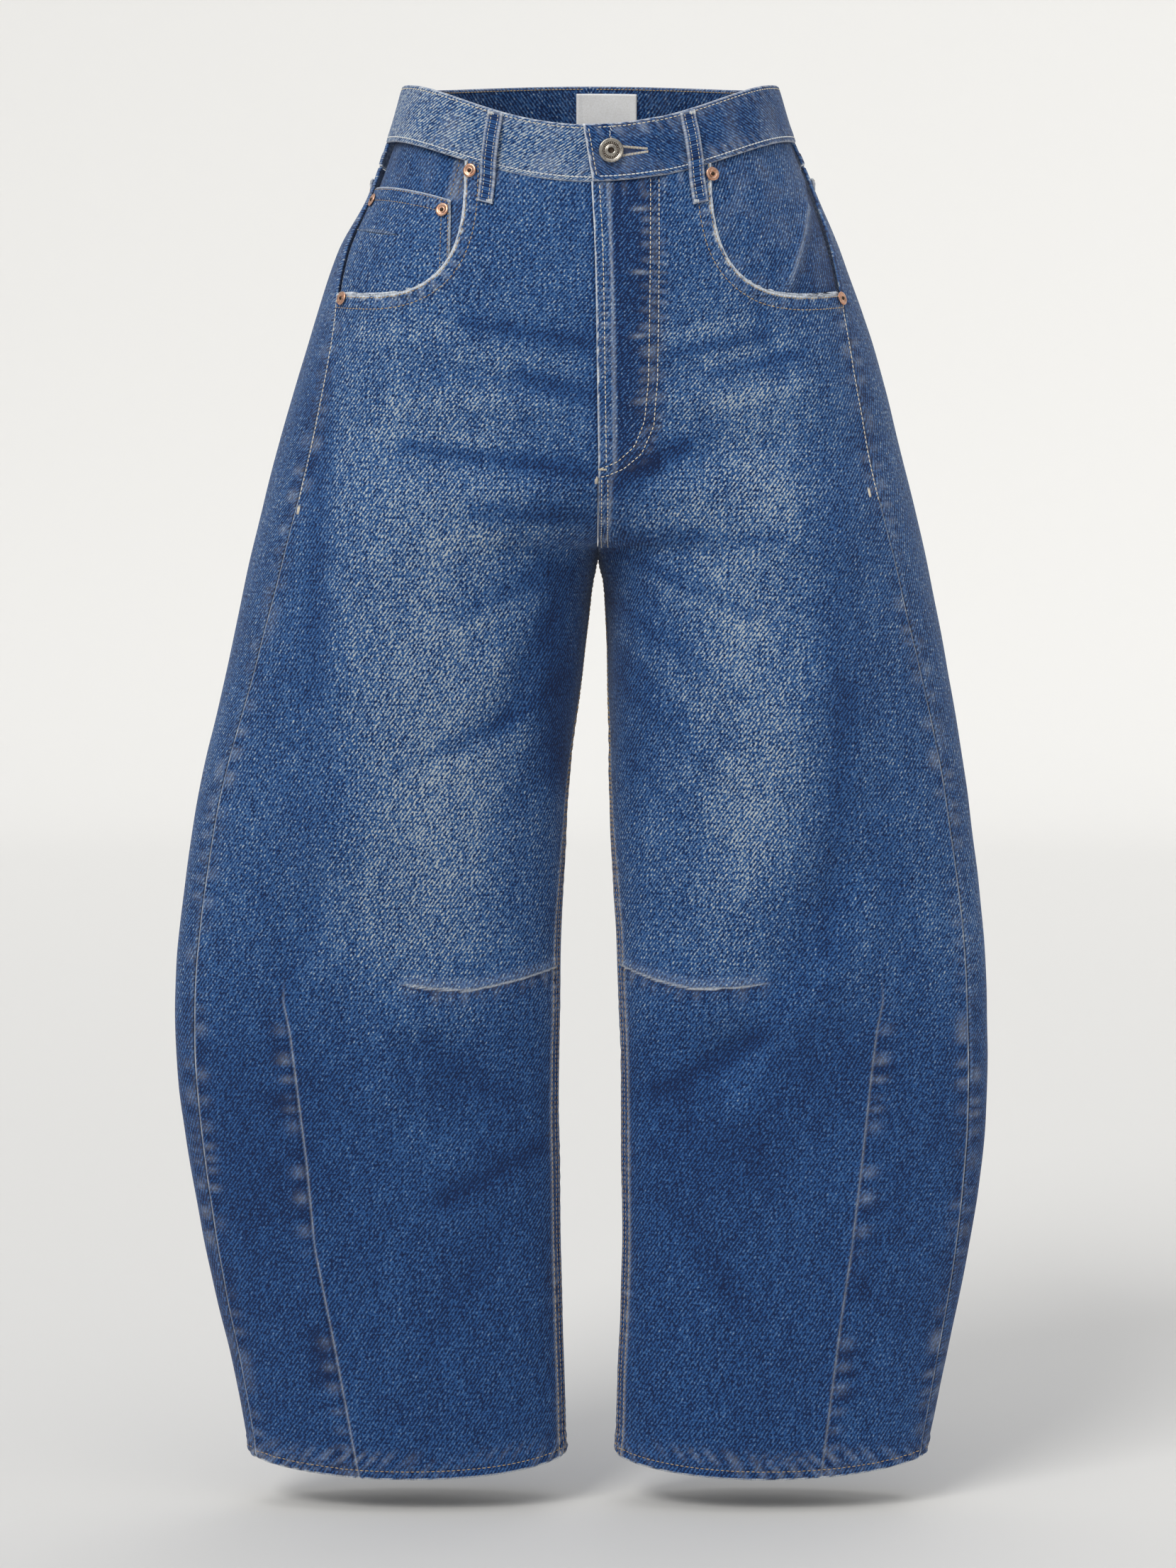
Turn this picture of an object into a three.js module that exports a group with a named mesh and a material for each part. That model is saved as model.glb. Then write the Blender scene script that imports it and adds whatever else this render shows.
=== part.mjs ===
// Barrel leg trousers in blue denim, filled out as if worn, with nothing inside.
// Millimetres, +Z up, -Y is the front, +X is the wearer's left.
// The origin is the middle of the waist opening, level with the top of the waistband at the hips.
// Every piece is a thin wall laid on one skin: the outer face of the filled-out cloth.
import * as THREE from 'three';

// Driving sizes
const DENIM = 1.5;               // thickness of one layer of cloth
const SEAM = 0.3;                // gap between pieces that are sewn together
const LAY = 0.8;                 // gap under a piece that lies on a panel, wide enough for flat facets
const WAIST_TOP = -4;            // top edge of the waistband at the side
const BAND_HEIGHT = 39;
const BAND_PROUD = 1;            // the folded waistband stands this far outside the skin
const BAND_DEEP = 2;             // and reaches this far inside it
const FRONT_DIP = 32;            // the waist is this much lower at the centre front than at the sides
const BACK_LIFT = 8;             // and this much higher at the centre back
const CROTCH = -325;
const RISE = 80;                 // the centre seams curve under over this height above the crotch
const KNEE = -640;
const HEM = -968;
const HEM_SAG = 12;              // the hem hangs this much lower in the middle of each leg
const HEM_TURNING = 10;
const HEM_PROUD = 0.7;           // the doubled cloth of the hem, outside and inside the skin
const HEM_DEEP = 2.3;
const POCKET_X = 84;             // where the front pocket opening meets the waistband
const POCKET_BOTTOM = -147;      // where it meets the side seam
const POCKET_SQUARENESS = 2.7;   // 2 is a quarter ellipse, more is squarer
const TUCK = 14;                 // how far the pieces beneath reach past the edge of the opening
const YOKE_SIDE = -59;           // lower edge of the back yoke at the side seam
const YOKE_POINT = 33;           // how much lower it is at the centre back
const INSEAM_TURN = THREE.MathUtils.degToRad(9);
const SKIN_POWER = 0.9;          // 1 is an ellipse, less is squarer
const INNER_FULLNESS = 0.1;      // the legs are deeper at the inseam than at the side

const BAND_BOTTOM = WAIST_TOP - BAND_HEIGHT;

// One row for each level. middle is the x of the centre seams, right and left are the distances
// of the outline from x = 0, gap is half the space between the legs, front and back are the depths
// from the side line, and seam is how far the side seam lies inside the outline.
const SECTIONS = [
  { z: 12, middle: 1, right: 124, left: 127, gap: 0, front: 94, back: 99, seam: 0.3 },
  { z: -40, middle: 2, right: 139, left: 143, gap: 0, front: 99, back: 106, seam: 0.5 },
  { z: -80, middle: 4, right: 154, left: 160, gap: 0, front: 104, back: 114, seam: 2 },
  { z: -120, middle: 5, right: 175, left: 177, gap: 0, front: 110, back: 122, seam: 7 },
  { z: -200, middle: 6, right: 201, left: 204, gap: 0, front: 114, back: 128, seam: 20 },
  { z: -280, middle: 7, right: 224, left: 225, gap: 0, front: 108, back: 122, seam: 26 },
  { z: -325, middle: 7, right: 235, left: 236, gap: 0, front: 98, back: 110, seam: 25 },
  { z: -355, middle: 7, right: 242, left: 242, gap: 4.8, front: 94, back: 104, seam: 24 },
  { z: -410, middle: 5, right: 254, left: 253, gap: 9.3, front: 87, back: 95, seam: 21 },
  { z: -500, middle: 0.5, right: 275, left: 268, gap: 14.8, front: 73, back: 80, seam: 17 },
  { z: -600, middle: 0.6, right: 289, left: 280, gap: 20, front: 59, back: 63, seam: 15 },
  { z: -670, middle: 1, right: 292, left: 283, gap: 22, front: 52, back: 55, seam: 14.5 },
  { z: -740, middle: 1.6, right: 286, left: 281, gap: 22.5, front: 48, back: 50, seam: 13 },
  { z: -830, middle: 2.4, right: 270, left: 269, gap: 22, front: 45, back: 46, seam: 9.5 },
  { z: -920, middle: 2, right: 250, left: 251, gap: 19.5, front: 43, back: 43, seam: 6 },
  { z: -985, middle: 1.8, right: 238, left: 238, gap: 17.5, front: 42, back: 42, seam: 5 },
];

// The largest folds, as ridges (height above 0) or troughs along straight lines on one face.
const FOLDS = [
  { face: 'front', x1: -150, z1: -165, x2: -166, z2: -520, width: 45, height: 6 },
  { face: 'front', x1: -166, z1: -520, x2: -113, z2: -680, width: 40, height: 5 },
  { face: 'front', x1: 161, z1: -220, x2: 155, z2: -440, width: 45, height: 6 },
  { face: 'front', x1: 155, z1: -440, x2: 161, z2: -600, width: 45, height: 6 },
  { face: 'front', x1: 177, z1: -549, x2: 102, z2: -676, width: 24, height: -6 },
  { face: 'front', x1: 102, z1: -676, x2: 64, z2: -726, width: 22, height: -4 },
  { face: 'front', x1: -45, z1: -640, x2: -135, z2: -650, width: 20, height: 3 },
  { face: 'front', x1: 45, z1: -640, x2: 135, z2: -650, width: 20, height: 3 },
  { face: 'back', x1: -40, z1: -350, x2: -150, z2: -392, width: 26, height: -6 },
  { face: 'back', x1: 48, z1: -352, x2: 152, z2: -388, width: 26, height: -6 },
  { face: 'back', x1: -140, z1: -420, x2: -152, z2: -640, width: 44, height: 6 },
  { face: 'back', x1: 146, z1: -410, x2: 140, z2: -630, width: 44, height: 6 },
  { face: 'back', x1: -60, z1: -600, x2: -170, z2: -664, width: 24, height: -5 },
  { face: 'back', x1: 62, z1: -612, x2: 168, z2: -652, width: 24, height: -5 },
];

const SIDES = { right: { name: 'right', sign: -1 }, left: { name: 'left', sign: 1 } };
const FACE = { front: -1, back: 1 };

// Small helpers
const { clamp, lerp, smoothstep, degToRad } = THREE.MathUtils;

function steps(from, to, count, power = 1) {
  return Array.from({ length: count + 1 }, (_, i) => lerp(from, to, (i / count) ** power));
}

// A smooth curve through one column of the sections table
function column(name, z) {
  const last = SECTIONS.length - 1;
  const found = SECTIONS.findIndex((row, i) => i < last && z >= SECTIONS[i + 1].z);
  const i = found < 0 ? last - 1 : found;
  const slope = (k) => {
    const above = SECTIONS[Math.max(k - 1, 0)];
    const below = SECTIONS[Math.min(k + 1, last)];
    return (below[name] - above[name]) / (below.z - above.z);
  };
  const [a, b] = [SECTIONS[i], SECTIONS[i + 1]];
  const span = b.z - a.z;
  const t = clamp((z - a.z) / span, 0, 1);
  const blend = t * t * (3 - 2 * t);
  const bendA = t * (1 - t) * (1 - t) * span * slope(i);
  const bendB = t * t * (t - 1) * span * slope(i + 1);
  return lerp(a[name], b[name], blend) + bendA + bendB;
}

// The level section of one side: an ellipse whose inner part is cut off by the centre plane
// above the crotch, and which closes into a leg below it.
function section(side, z) {
  const middle = column('middle', z);
  const outer = column(side.name, z) - side.sign * middle;
  const closing = clamp((CROTCH + RISE - z) / RISE, 0, 1) ** 1.6;
  const inner = z >= CROTCH ? (-outer * (1 - closing)) / (1 + closing) : column('gap', z);
  return { middle, closing, centre: (outer + inner) / 2, half: (outer - inner) / 2 };
}

// The waist dips at the front and the hem sags, so a level line on the cloth isn't level in space.
function dip(angle, level) {
  const across = Math.abs(Math.sin(angle));
  const nearWaist = smoothstep(level, CROTCH + 25, BAND_BOTTOM);
  const nearHem = 1 - smoothstep(level, HEM, HEM + 170);
  const waist = Math.sin(angle) < 0 ? -FRONT_DIP * across ** 3.2 : BACK_LIFT * across ** 2;
  return waist * nearWaist - HEM_SAG * across ** 1.5 * nearHem;
}

function foldHeight(x, z, face) {
  const reach = (fold) => {
    const line = new THREE.Line3(new THREE.Vector3(fold.x1, 0, fold.z1), new THREE.Vector3(fold.x2, 0, fold.z2));
    const point = new THREE.Vector3(x, 0, z);
    const away = line.closestPointToPoint(point, true, new THREE.Vector3()).distanceTo(point);
    return fold.height * Math.exp(-((away / fold.width) ** 2));
  };
  return FOLDS.filter((fold) => FACE[fold.face] === face).reduce((sum, fold) => sum + reach(fold), 0);
}

// A point of the skin. angle runs round one side of the garment: 0 at the outer outline,
// negative over the front and positive over the back. level is the height before the dip.
function skin(side, angle, level) {
  const z = level + dip(angle, level);
  const { middle, closing, centre, half } = section(side, z);
  const across = Math.sin(angle);
  const face = across < 0 ? FACE.front : FACE.back;
  const depth = column(face === FACE.front ? 'front' : 'back', z);
  const fullness = 1 - INNER_FULLNESS * closing * Math.cos(angle);
  const x = middle + side.sign * (centre + half * Math.cos(angle));
  const y = depth * Math.abs(across) ** SKIN_POWER * fullness + foldHeight(x, z, face) * Math.abs(across);
  return new THREE.Vector3(x, face * y, z);
}

// The outward direction at a point of the skin, and the point moved along it
function outward(side, angle, level) {
  const turn = 0.01;
  const drop = 1;
  const around = skin(side, angle + turn, level).sub(skin(side, angle - turn, level));
  const down = skin(side, angle, level - drop).sub(skin(side, angle, level + drop));
  return around.cross(down).multiplyScalar(-side.sign).normalize();
}

function raised(spot, out) {
  const [side, angle, level] = spot;
  return skin(side, angle, level).addScaledVector(outward(side, angle, level), out);
}

// How much angle one millimetre round the skin takes
function angleOf(side, angle, level, length) {
  const turn = 0.02;
  const round = skin(side, angle + turn, level).distanceTo(skin(side, angle - turn, level));
  return (length * 2 * turn) / round;
}

// The angle and level of the point of the front or back that is at x, on a level or at a height z
function angleAtX(side, face, x, level) {
  let angle = (face * Math.PI) / 2;
  for (let tries = 0; tries < 6; tries += 1) {
    const { middle, centre, half } = section(side, level + dip(angle, level));
    angle = face * Math.acos(clamp((side.sign * (x - middle) - centre) / half, -1, 1));
  }
  return angle;
}

function spotAtX(face, x, level) {
  const side = x < column('middle', level) ? SIDES.right : SIDES.left;
  return [side, angleAtX(side, face, x, level), level];
}

function spotAtPoint(face, x, z) {
  let spot = spotAtX(face, x, z);
  for (let tries = 0; tries < 8; tries += 1) {
    spot = spotAtX(face, x, spot[2] + z - skin(...spot).z);
  }
  return spot;
}

// Edges of the panels
function centreEdge(side, face, level) {
  const plane = section(side, level).middle + (side.sign * SEAM) / 2;
  if (level >= CROTCH) {
    return angleAtX(side, face, plane, level);
  }
  const turn = INSEAM_TURN * (1 - smoothstep(level, KNEE, CROTCH));
  const angle = face * Math.PI + turn;
  return angle - face * angleOf(side, angle, level, SEAM / 2);
}

function sideEdge(side, face, level) {
  const { half } = section(side, level);
  const angle = -Math.acos(1 - column('seam', level) / half);
  return angle + face * angleOf(side, angle, level, SEAM / 2);
}

function yokeSeam(angle) {
  return YOKE_SIDE - YOKE_POINT * Math.max(Math.sin(angle), 0) ** 2;
}

// The scooped edge of the front pocket, in equal steps from the waistband to the side seam
function pocketEdge(side) {
  const seamX = side.sign * skin(side, sideEdge(side, FACE.front, POCKET_BOTTOM), POCKET_BOTTOM).x;
  const top = BAND_BOTTOM - SEAM;
  const samples = steps(0, Math.PI / 2, 24).map((turn) => {
    const out = Math.cos(turn) ** (2 / POCKET_SQUARENESS);
    const down = Math.sin(turn) ** (2 / POCKET_SQUARENESS);
    return new THREE.Vector2(lerp(seamX, POCKET_X, out), lerp(top, POCKET_BOTTOM, down));
  });
  const spaced = new THREE.SplineCurve(samples).getSpacedPoints(POCKET_STEPS);
  return spaced.map(({ x, y: level }) => [angleAtX(side, FACE.front, side.sign * x, level), level]);
}

// A closed wall from a grid of spots, with its outer and inner face at given heights over the skin
function wall(grid, thickness) {
  const rows = grid.length;
  const cols = grid[0].length;
  const layers = [0, 1].map((layer) =>
    grid.map((row) => row.map((spot) => raised(spot, thickness(spot)[layer]))),
  );
  return closedWall(layers, rows, cols);
}

function closedWall(layers, rows, cols) {
  const points = layers.flat(2);
  const at = (layer, row, col) => layer * rows * cols + row * cols + col;
  const faces = [];
  const quad = (a, b, c, d) => faces.push([a, b, c], [a, c, d]);
  for (let row = 0; row + 1 < rows; row += 1) {
    for (let col = 0; col + 1 < cols; col += 1) {
      quad(at(0, row, col), at(0, row, col + 1), at(0, row + 1, col + 1), at(0, row + 1, col));
      quad(at(1, row, col), at(1, row + 1, col), at(1, row + 1, col + 1), at(1, row, col + 1));
    }
  }
  const rim = [];
  for (let col = 0; col + 1 < cols; col += 1) rim.push([0, col]);
  for (let row = 0; row + 1 < rows; row += 1) rim.push([row, cols - 1]);
  for (let col = cols - 1; col > 0; col -= 1) rim.push([rows - 1, col]);
  for (let row = rows - 1; row > 0; row -= 1) rim.push([row, 0]);
  rim.forEach(([row, col], i) => {
    const [nextRow, nextCol] = rim[(i + 1) % rim.length];
    quad(at(0, row, col), at(1, row, col), at(1, nextRow, nextCol), at(0, nextRow, nextCol));
  });
  const volume = faces.reduce((sum, [a, b, c]) => sum + points[a].dot(points[b].clone().cross(points[c])), 0);
  const turned = volume < 0 ? faces.map(([a, b, c]) => [a, c, b]) : faces;
  const geometry = new THREE.BufferGeometry().setFromPoints(points);
  geometry.setIndex(turned.flat());
  return geometry;
}

// A grid of spots between two edges: each row goes from one [angle, level] to another
function gridBetween(side, edges, cols) {
  return edges.map(([from, to]) =>
    steps(0, 1, cols).map((t) => [side, lerp(from[0], to[0], t), lerp(from[1], to[1], t)]),
  );
}

const flat = (outer, inner) => () => [outer, inner];

function panelThickness([, , level]) {
  const hem = level < HEM + HEM_TURNING + 0.5;
  return hem ? [HEM_PROUD, -HEM_DEEP] : [0, -DENIM];
}

// Levels shared by the front and back panels below the pocket, closer together at the crotch
const PANEL_LEVELS = [
  POCKET_BOTTOM,
  ...steps(POCKET_BOTTOM - TUCK, CROTCH, 10, 0.85).slice(0, -1),
  ...steps(CROTCH, KNEE, 13, 1.4).slice(0, -1),
  ...steps(KNEE, HEM + HEM_TURNING + 1, 10),
  HEM + HEM_TURNING,
  HEM,
];
const POCKET_STEPS = 13;
const FRONT_COLS = 12;
const BACK_COLS = 16;

function frontPanel(side) {
  const top = BAND_BOTTOM - SEAM;
  const centre = (level) => [centreEdge(side, FACE.front, level), level];
  const byPocket = pocketEdge(side)
    .slice(0, -1)
    .map((edge, i) => [centre(lerp(top, POCKET_BOTTOM, i / POCKET_STEPS)), edge]);
  const below = PANEL_LEVELS.map((level) => [centre(level), [sideEdge(side, FACE.front, level), level]]);
  return wall(gridBetween(side, [...byPocket, ...below], FRONT_COLS), panelThickness);
}

// The part of the back between two curves across it, given as functions of the angle
function backRows(side, upper, lower, count) {
  return steps(0, 1, count).map((t) => {
    const level = (angle) => lerp(upper(angle), lower(angle), t);
    const outer = sideEdge(side, FACE.back, level(0));
    const inner = centreEdge(side, FACE.back, level(Math.PI / 2));
    return steps(outer, inner, BACK_COLS).map((angle) => [side, angle, level(angle)]);
  });
}

function yoke(side) {
  const top = () => BAND_BOTTOM - SEAM;
  const bottom = (angle) => yokeSeam(angle) + SEAM / 2;
  return wall(backRows(side, top, bottom, 3), flat(0, -DENIM));
}

function backPanel(side) {
  const top = (angle) => yokeSeam(angle) - SEAM / 2;
  const upper = backRows(side, top, () => POCKET_BOTTOM, 4).slice(0, -1);
  const edge = (level) => [
    [sideEdge(side, FACE.back, level), level],
    [centreEdge(side, FACE.back, level), level],
  ];
  const lower = gridBetween(side, PANEL_LEVELS.map(edge), BACK_COLS);
  return wall([...upper, ...lower], panelThickness);
}

// The waistband is two halves. The left one laps over the right one at the centre front.
const TAB_END = 0;               // x of the end of the overlap
const UNDERLAP_END = 38;         // x of the end of the half beneath it
const TAB_RAMP = [42, 54];       // where the left half steps up over the right half
const BAND_THICK = BAND_PROUD + BAND_DEEP;
const BAND_LEVELS = steps(WAIST_TOP, BAND_BOTTOM, 3);

function tabLift(side, angle, level) {
  const x = skin(side, angle, level).x;
  const overFront = side === SIDES.left && Math.sin(angle) < 0;
  return overFront ? (BAND_THICK + SEAM) * (1 - smoothstep(x, ...TAB_RAMP)) : 0;
}

function bandThickness([side, angle, level]) {
  const lift = tabLift(side, angle, level);
  return [BAND_PROUD + lift, lift - BAND_DEEP];
}

function waistband(side) {
  const back = centreEdge(side, FACE.back, WAIST_TOP);
  const stations = side === SIDES.left ? [TAB_RAMP[1], 48, TAB_RAMP[0], 30, 15, TAB_END] : [20, UNDERLAP_END];
  const rows = BAND_LEVELS.map((level) => {
    const front = angleAtX(side, FACE.front, side === SIDES.left ? 62 : 0, level);
    const round = steps(back, front, 22);
    const ends = stations.map((x) => angleAtX(side, FACE.front, x, level));
    return [...round, ...ends].map((angle) => [side, angle, level]);
  });
  return wall(rows, bandThickness);
}

// Pocket facings: the denim seen inside the front pocket openings, and the coin pocket on one
const COIN_X = 95;
const COIN_TOP = -72;
const UNDER_PANEL = -DENIM - 1.2;     // the curved edge of the opening needs a little more room
const COIN_THICK = 1.3;

function facing(side) {
  const depth = side === SIDES.right ? UNDER_PANEL - COIN_THICK - LAY : UNDER_PANEL;
  const edge = (level) => [
    [angleAtX(side, FACE.front, side.sign * (POCKET_X - TUCK), level), level],
    [sideEdge(side, FACE.front, level), level],
  ];
  const levels = [...steps(BAND_BOTTOM - SEAM, POCKET_BOTTOM, 6), POCKET_BOTTOM - TUCK];
  return wall(gridBetween(side, levels.map(edge), 7), flat(depth, depth - DENIM));
}

function coinPocket(side) {
  const edge = (level) => [
    [angleAtX(side, FACE.front, side.sign * COIN_X, level), level],
    [sideEdge(side, FACE.front, level), level],
  ];
  const levels = [...steps(COIN_TOP, POCKET_BOTTOM, 4), POCKET_BOTTOM - TUCK / 2];
  return wall(gridBetween(side, levels.map(edge), 6), flat(UNDER_PANEL, UNDER_PANEL - COIN_THICK));
}

// The strip behind the fly, which carries the hidden fastening
const FLY = { columns: [-6, 0, 6, 13, 22, 32, 42], bottom: -256 };

function flyShield() {
  const rows = steps(BAND_BOTTOM - SEAM, FLY.bottom, 12).map((level) =>
    FLY.columns.map((x) => spotAtX(FACE.front, x, level)),
  );
  return wall(rows, flat(UNDER_PANEL, UNDER_PANEL - DENIM));
}

// Back pockets: pointed patches set out from the middle of each back
const BACK_POCKET = { angle: 42, drop: 8, side: 136, point: 22, topHalf: 76, bottomHalf: 62, thick: 1.6 };

function backPocket(side) {
  const centre = degToRad(BACK_POCKET.angle);
  const rows = steps(0, 1, 6).map((t) => {
    const half = lerp(BACK_POCKET.topHalf, BACK_POCKET.bottomHalf, t);
    return steps(-half, half, 12).map((offset) => {
      const near = yokeSeam(centre) - BACK_POCKET.drop - BACK_POCKET.side * t;
      const angle = centre + angleOf(side, centre, near, offset);
      const point = BACK_POCKET.point * t * (1 - Math.abs(offset) / half);
      return [side, angle, yokeSeam(angle) - BACK_POCKET.drop - BACK_POCKET.side * t - point];
    });
  });
  return wall(rows, flat(LAY + BACK_POCKET.thick, LAY));
}

// Belt loops: folded strips from the top of the waistband to below it
const LOOP = { width: 11.5, thick: 2.2, top: -5.5, bottom: -67, belt: 2 };

function loopThickness([, , level]) {
  const onBand = smoothstep(level, BAND_BOTTOM - 9, BAND_BOTTOM - 1);
  const t = (level - LOOP.bottom) / (LOOP.top - LOOP.bottom);
  const room = LOOP.belt * smoothstep(t, 0.3, 0.5) * (1 - smoothstep(t, 0.72, 0.92));
  const inner = SEAM + BAND_PROUD * onBand + room;
  return [inner + LOOP.thick, inner];
}

function beltLoop(face, topX, bottomX) {
  const rows = steps(LOOP.top, LOOP.bottom, 10).map((level, i) => {
    const x = lerp(topX, bottomX, i / 10);
    const [side, angle] = spotAtX(face, x, level);
    const half = angleOf(side, angle, level, LOOP.width / 2);
    return steps(angle - half, angle + half, 2).map((turned) => [side, turned, level]);
  });
  return wall(rows, loopThickness);
}

// The label on the inside of the back waistband: bare woven cloth
const LABEL = { x: 13.5, width: 44, top: -9, height: 30, thick: 0.6 };

function label() {
  const rows = steps(LABEL.top, LABEL.top - LABEL.height, 3).map((level) =>
    steps(LABEL.x - LABEL.width / 2, LABEL.x + LABEL.width / 2, 5).map((x) => spotAtX(FACE.back, x, level)),
  );
  return wall(rows, flat(-BAND_DEEP - SEAM, -BAND_DEEP - SEAM - LABEL.thick));
}

// Metal trims: turned profiles from the axis to the axis, standing on the cloth
const RIVET_PROFILE = [[0, 0], [4.7, 0], [4.9, 0.5], [4.3, 1.1], [2, 1], [1.5, 1.9], [0, 2.2]];
const BUTTON_PROFILE = [
  [0, 0], [3.5, 0], [3.5, 1.4], [8, 1.6], [8.6, 2.4], [8.3, 3.6], [7.2, 4], [4, 3.4], [2.7, 3.7], [2.2, 2.6], [0, 2.5],
];

function turned(profile, segments) {
  return new THREE.LatheGeometry(profile.map(([r, h]) => new THREE.Vector2(r, h)), segments);
}

const cloth = (color) => new THREE.MeshStandardMaterial({ color, roughness: 0.92, metalness: 0 });
const MATERIALS = {
  denim: cloth('#4a6a9c'),
  band: cloth('#41608f'),
  facing: cloth('#44659a'),
  label: cloth('#e9e6df'),
  copper: new THREE.MeshStandardMaterial({ color: '#c98b6a', roughness: 0.35, metalness: 1 }),
  pewter: new THREE.MeshStandardMaterial({ color: '#9a9082', roughness: 0.4, metalness: 1 }),
};

const trousers = new THREE.Group();

function add(name, geometry, material) {
  const mesh = new THREE.Mesh(geometry, material);
  mesh.name = name;
  trousers.add(mesh);
  return mesh;
}

function addTrim(name, geometry, material, spot, out) {
  const mesh = add(name, geometry, material);
  mesh.position.copy(raised(spot, out));
  mesh.quaternion.setFromUnitVectors(new THREE.Vector3(0, 1, 0), outward(...spot));
}

for (const side of Object.values(SIDES)) {
  add(`front_${side.name}`, frontPanel(side), MATERIALS.denim);
  add(`back_${side.name}`, backPanel(side), MATERIALS.denim);
  add(`yoke_${side.name}`, yoke(side), MATERIALS.denim);
  add(`waistband_${side.name}`, waistband(side), MATERIALS.band);
  add(`pocket_facing_${side.name}`, facing(side), MATERIALS.facing);
  add(`back_pocket_${side.name}`, backPocket(side), MATERIALS.denim);
}
add('coin_pocket', coinPocket(SIDES.right), MATERIALS.facing);
add('fly_shield', flyShield(), MATERIALS.denim);
add('label', label(), MATERIALS.label);

// x at the top and bottom of each loop, as they lean
const LOOPS = [
  { name: 'front_right', face: FACE.front, top: -62, bottom: -69.5 },
  { name: 'front_left', face: FACE.front, top: 66.5, bottom: 76 },
  { name: 'back_right', face: FACE.back, top: -92, bottom: -98 },
  { name: 'back_left', face: FACE.back, top: 95, bottom: 102 },
  { name: 'back_middle', face: FACE.back, top: 2, bottom: 3 },
];
for (const { name, face, top, bottom } of LOOPS) {
  add(`belt_loop_${name}`, beltLoop(face, top, bottom), MATERIALS.denim);
}

// Rivets at the ends of the pocket openings and of the coin pocket's hem
const RIVETS = [
  { name: 'pocket_top_right', x: -79.8, z: -66.5, out: 0 },
  { name: 'pocket_top_left', x: 84, z: -69, out: 0 },
  { name: 'pocket_side_right', x: -168.5, z: -152, out: 0 },
  { name: 'pocket_side_left', x: 174, z: -152, out: 0 },
  { name: 'coin_inner', x: -100, z: -92, out: UNDER_PANEL },
  { name: 'coin_outer', x: -151, z: -82.5, out: UNDER_PANEL },
];
for (const { name, x, z, out } of RIVETS) {
  addTrim(`rivet_${name}`, turned(RIVET_PROFILE, 16), MATERIALS.copper, spotAtPoint(FACE.front, x, z), out + SEAM);
}

const BUTTON = { x: 15.2, z: -54.8 };
const buttonSpot = spotAtPoint(FACE.front, BUTTON.x, BUTTON.z);
const buttonSeat = bandThickness(buttonSpot)[0] + SEAM;
addTrim('waist_button', turned(BUTTON_PROFILE, 28), MATERIALS.pewter, buttonSpot, buttonSeat);

export default trousers;
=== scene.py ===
"""Barrel leg trousers: washed blue denim, worn pale on the thighs, sewn with cream and tan thread.

Millimetres are used throughout, and a mesh is scaled to metres as it is made. +Z is up, -Y is the
front and +X is the wearer's left. Every piece is laid on one skin, the outer face of the cloth.
"""

import math
from collections import namedtuple

import bmesh
import bpy
import numpy as np
from mathutils import Matrix, Vector, noise
from mathutils.bvhtree import BVHTree


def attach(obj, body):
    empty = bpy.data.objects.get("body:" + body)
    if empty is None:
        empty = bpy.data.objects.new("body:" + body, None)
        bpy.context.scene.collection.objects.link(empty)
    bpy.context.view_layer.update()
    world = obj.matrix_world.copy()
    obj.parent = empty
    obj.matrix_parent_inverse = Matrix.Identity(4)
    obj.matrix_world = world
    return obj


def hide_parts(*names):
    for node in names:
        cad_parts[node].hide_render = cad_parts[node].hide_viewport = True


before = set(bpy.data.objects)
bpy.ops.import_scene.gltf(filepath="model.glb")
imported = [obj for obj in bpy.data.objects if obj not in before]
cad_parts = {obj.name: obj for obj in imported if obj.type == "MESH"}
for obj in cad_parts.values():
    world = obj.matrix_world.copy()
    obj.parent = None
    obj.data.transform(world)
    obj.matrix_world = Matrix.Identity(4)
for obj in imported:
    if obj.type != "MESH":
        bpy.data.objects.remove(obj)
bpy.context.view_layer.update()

MM = 0.001

# Driving sizes, the same as those of the solids
DENIM = 1.3
SEAM = 0.3
WAIST_TOP = -4
BAND_HEIGHT = 39
BAND_BOTTOM = WAIST_TOP - BAND_HEIGHT
BAND_PROUD = 1
BAND_DEEP = 2
FRONT_DIP = 32
BACK_LIFT = 8
CROTCH = -325
RISE = 80
KNEE = -640
HEM = -968
HEM_SAG = 12
POCKET_X = 84
POCKET_BOTTOM = -147
POCKET_SQUARENESS = 2.7
TUCK = 14
YOKE_SIDE = -59
YOKE_POINT = 33
INSEAM_TURN = math.radians(9)
SKIN_POWER = 0.9
INNER_FULLNESS = 0.1
UNDER_PANEL = -2.7
FLY_BOTTOM = -262

Side = namedtuple("Side", "name sign")
RIGHT = Side("right", -1)
LEFT = Side("left", 1)
FRONT = -1
BACK = 1

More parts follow.
